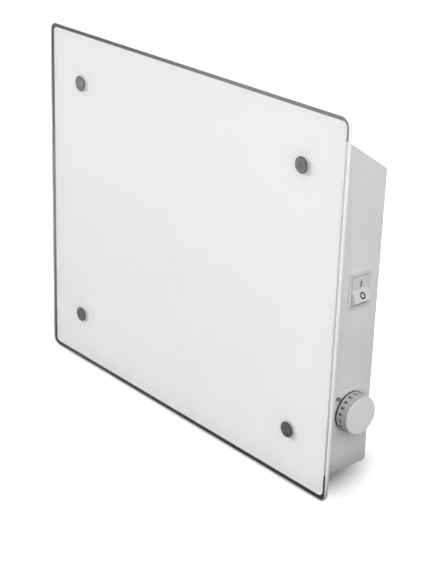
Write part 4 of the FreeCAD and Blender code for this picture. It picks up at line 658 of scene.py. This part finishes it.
# Studio surround: white paper walls all round, made as the world and not part of the heater.
# They show white to the camera, mirrors and glass, and give everything else a soft even light.
SURROUND_WHITE = "#FFFFFF"
SURROUND_LIGHT = 0.25
world = bpy.data.worlds.new("studio_white")
bpy.context.scene.world = world
world.use_nodes = True
tree = world.node_tree
tree.nodes.clear()
_, _, shown = studio_rays(tree)
level = add(tree, "MapRange", {"To Min": SURROUND_LIGHT, "To Max": 1.0}, {"Value": shown.outputs["Value"]})
sky = add(tree, "Background", {"Color": linear(SURROUND_WHITE)}, {"Strength": level.outputs["Result"]})
add(tree, "OutputWorld", links={"Surface": sky.outputs["Background"]})

# Dark card: a grey sheet that lies behind the glass and bends up behind the heater, part of the stage.
# It shows only through the clear margin of the glass, which looks dark against it, so its glow is painted
# shade for that margin.
CARD_LEFT, CARD_RIGHT = -1.6, 1.0
CARD_GAP = 0.001
CARD_FRONT, CARD_BACK = glass_high.y + CARD_GAP, 0.25
CARD_RAISE = 0.0005
CARD_BOTTOM, CARD_TOP = FLOOR_Z + CARD_RAISE, 0.9
CARD_DARK, CARD_LIGHT = "#0A0A0A", "#6C6C6C"
# Low down the card pales to the back, and higher up it pales to the right; its darkest part, low down near
# the glass, is painted shade under the heater
DEPTH_START, DEPTH_END = -0.07, 0.11
BREADTH_START, BREADTH_END = -0.62, -0.30
HEIGHT_START, HEIGHT_END = -0.16, -0.05
corners = [(CARD_LEFT, CARD_FRONT, CARD_BOTTOM), (CARD_RIGHT, CARD_FRONT, CARD_BOTTOM),
           (CARD_RIGHT, CARD_BACK, CARD_BOTTOM), (CARD_LEFT, CARD_BACK, CARD_BOTTOM),
           (CARD_RIGHT, CARD_BACK, CARD_TOP), (CARD_LEFT, CARD_BACK, CARD_TOP)]
card = mesh_piece("dark_card", corners, [(0, 1, 2, 3), (3, 2, 4, 5)])
# Grey card: a flat tone that glows evenly, so that no lamp or shadow changes it; the glow is painted shade,
# though the card is no lamp
shade, tree = start_material("dark_card_grey")
spot = add(tree, "TexCoord").outputs["Object"]
axes = add(tree, "SeparateXYZ", links={"Vector": spot})
depth = add(tree, "MapRange", {"From Min": DEPTH_START, "From Max": DEPTH_END},
            {"Value": axes.outputs["Y"]})
breadth = add(tree, "MapRange", {"From Min": BREADTH_START, "From Max": BREADTH_END},
              {"Value": axes.outputs["X"]})
height = add(tree, "MapRange", {"From Min": HEIGHT_START, "From Max": HEIGHT_END},
             {"Value": axes.outputs["Z"]})
rise = add(tree, "Mix", links={"Factor": height.outputs["Result"], "A": depth.outputs["Result"],
                               "B": breadth.outputs["Result"]})
tone = add(tree, "ValToRGB", links={"Fac": rise.outputs["Result"]})
tone.color_ramp.elements[0].color = linear(CARD_DARK)
tone.color_ramp.elements[1].color = linear(CARD_LIGHT)
glow = add(tree, "Emission", {"Strength": 1.0}, {"Color": tone.outputs["Color"]})
add(tree, "OutputMaterial", links={"Surface": glow.outputs["Emission"]})
card.data.materials.append(shade)
card.visible_camera = False
card.visible_diffuse = False
card.visible_glossy = False
card.visible_shadow = False

# Flag: a black card that stands on the floor beside the controls, part of the stage.
# It is out of the camera's sight and keeps light off the casing's foot.
FLAG_X = 0.24
FLAG_FRONT, FLAG_BACK = -0.16, 0.12
FLAG_TOP = -0.143
FLAG_BLACK = "#101010"
corners = [(FLAG_X, FLAG_FRONT, FLOOR_Z), (FLAG_X, FLAG_BACK, FLOOR_Z),
           (FLAG_X, FLAG_BACK, FLAG_TOP), (FLAG_X, FLAG_FRONT, FLAG_TOP)]
flag = mesh_piece("black_flag", corners, [(0, 1, 2, 3)])
# Black card: flat and matt, with nothing to see on it
black, tree = start_material("black_card_matt")
card_face = add(tree, "BsdfDiffuse", {"Color": linear(FLAG_BLACK)})
add(tree, "OutputMaterial", links={"Surface": card_face.outputs["BSDF"]})
flag.data.materials.append(black)
flag.visible_camera = False
flag.visible_glossy = False
flag.visible_transmission = False

# Lamps: a wide softbox overhead, one beside the controls, a very large key far off to the upper left in
# front, and a fill behind. All are square and soft enough to leave no hard edge.
# Each row has a name, place, aim, width in metres and power in watts.
LAMPS = (
    ("overhead_softbox", (0.2, 0.6, 1.9), (0.0, -0.05, 0.0), 2.4, 5.0),
    ("side_softbox", (0.78, -0.30, 0.25), (0.19, -0.05, 0.0), 1.1, 6.1),
    ("front_key", (-3.2, -4.9, 2.8), (0.0, -0.08, 0.0), 3.65, 428.0),
    ("back_fill", (-1.4, 1.9, 0.8), (0.0, 0.0, 0.0), 1.6, 30.0),
)
for name, place, aim, width, power in LAMPS:
    lamp = bpy.data.lights.new(name, "AREA")
    lamp.shape = "SQUARE"
    lamp.size = width
    lamp.energy = power
    holder = add_object(name, lamp)
    holder.location = place
    holder.rotation_mode = "QUATERNION"
    holder.rotation_quaternion = (Vector(aim) - Vector(place)).to_track_quat("-Z", "Y")

# Camera: the photo's own viewpoint, from the right front and above, a little rolled.
# Its place, angles and focal length were fitted to the edges of the glass in the photo.
PHOTO_HEIGHT = 571
FOCAL_PIXELS = 1448.5
SENSOR_WIDTH = 36.0
CAMERA_PLACE = Vector((0.97639, -0.87853, 0.48209))
AZIMUTH, ELEVATION, ROLL = (math.radians(angle) for angle in (49.3507, 22.4030, 1.8981))
NEAREST, FARTHEST = 0.01, 100.0
camera_data = bpy.data.cameras.new("photo_camera")
camera_data.sensor_width = SENSOR_WIDTH
camera_data.lens = FOCAL_PIXELS / PHOTO_HEIGHT * SENSOR_WIDTH
camera_data.clip_start = NEAREST
camera_data.clip_end = FARTHEST
camera = add_object("photo_camera", camera_data)
level_reach = math.cos(ELEVATION)
back = Vector((math.sin(AZIMUTH) * level_reach, -math.cos(AZIMUTH) * level_reach, math.sin(ELEVATION)))
right = (-back).cross(Vector((0, 0, 1))).normalized()
up = back.cross(right)
rolled_right = math.cos(ROLL) * right + math.sin(ROLL) * up
rolled_up = -math.sin(ROLL) * right + math.cos(ROLL) * up
turn = Matrix((rolled_right, rolled_up, back)).transposed().to_4x4()
camera.matrix_world = Matrix.Translation(CAMERA_PLACE) @ turn
bpy.context.scene.camera = camera
bpy.context.scene.view_settings.view_transform = "Standard"

bpy.context.view_layer.update()
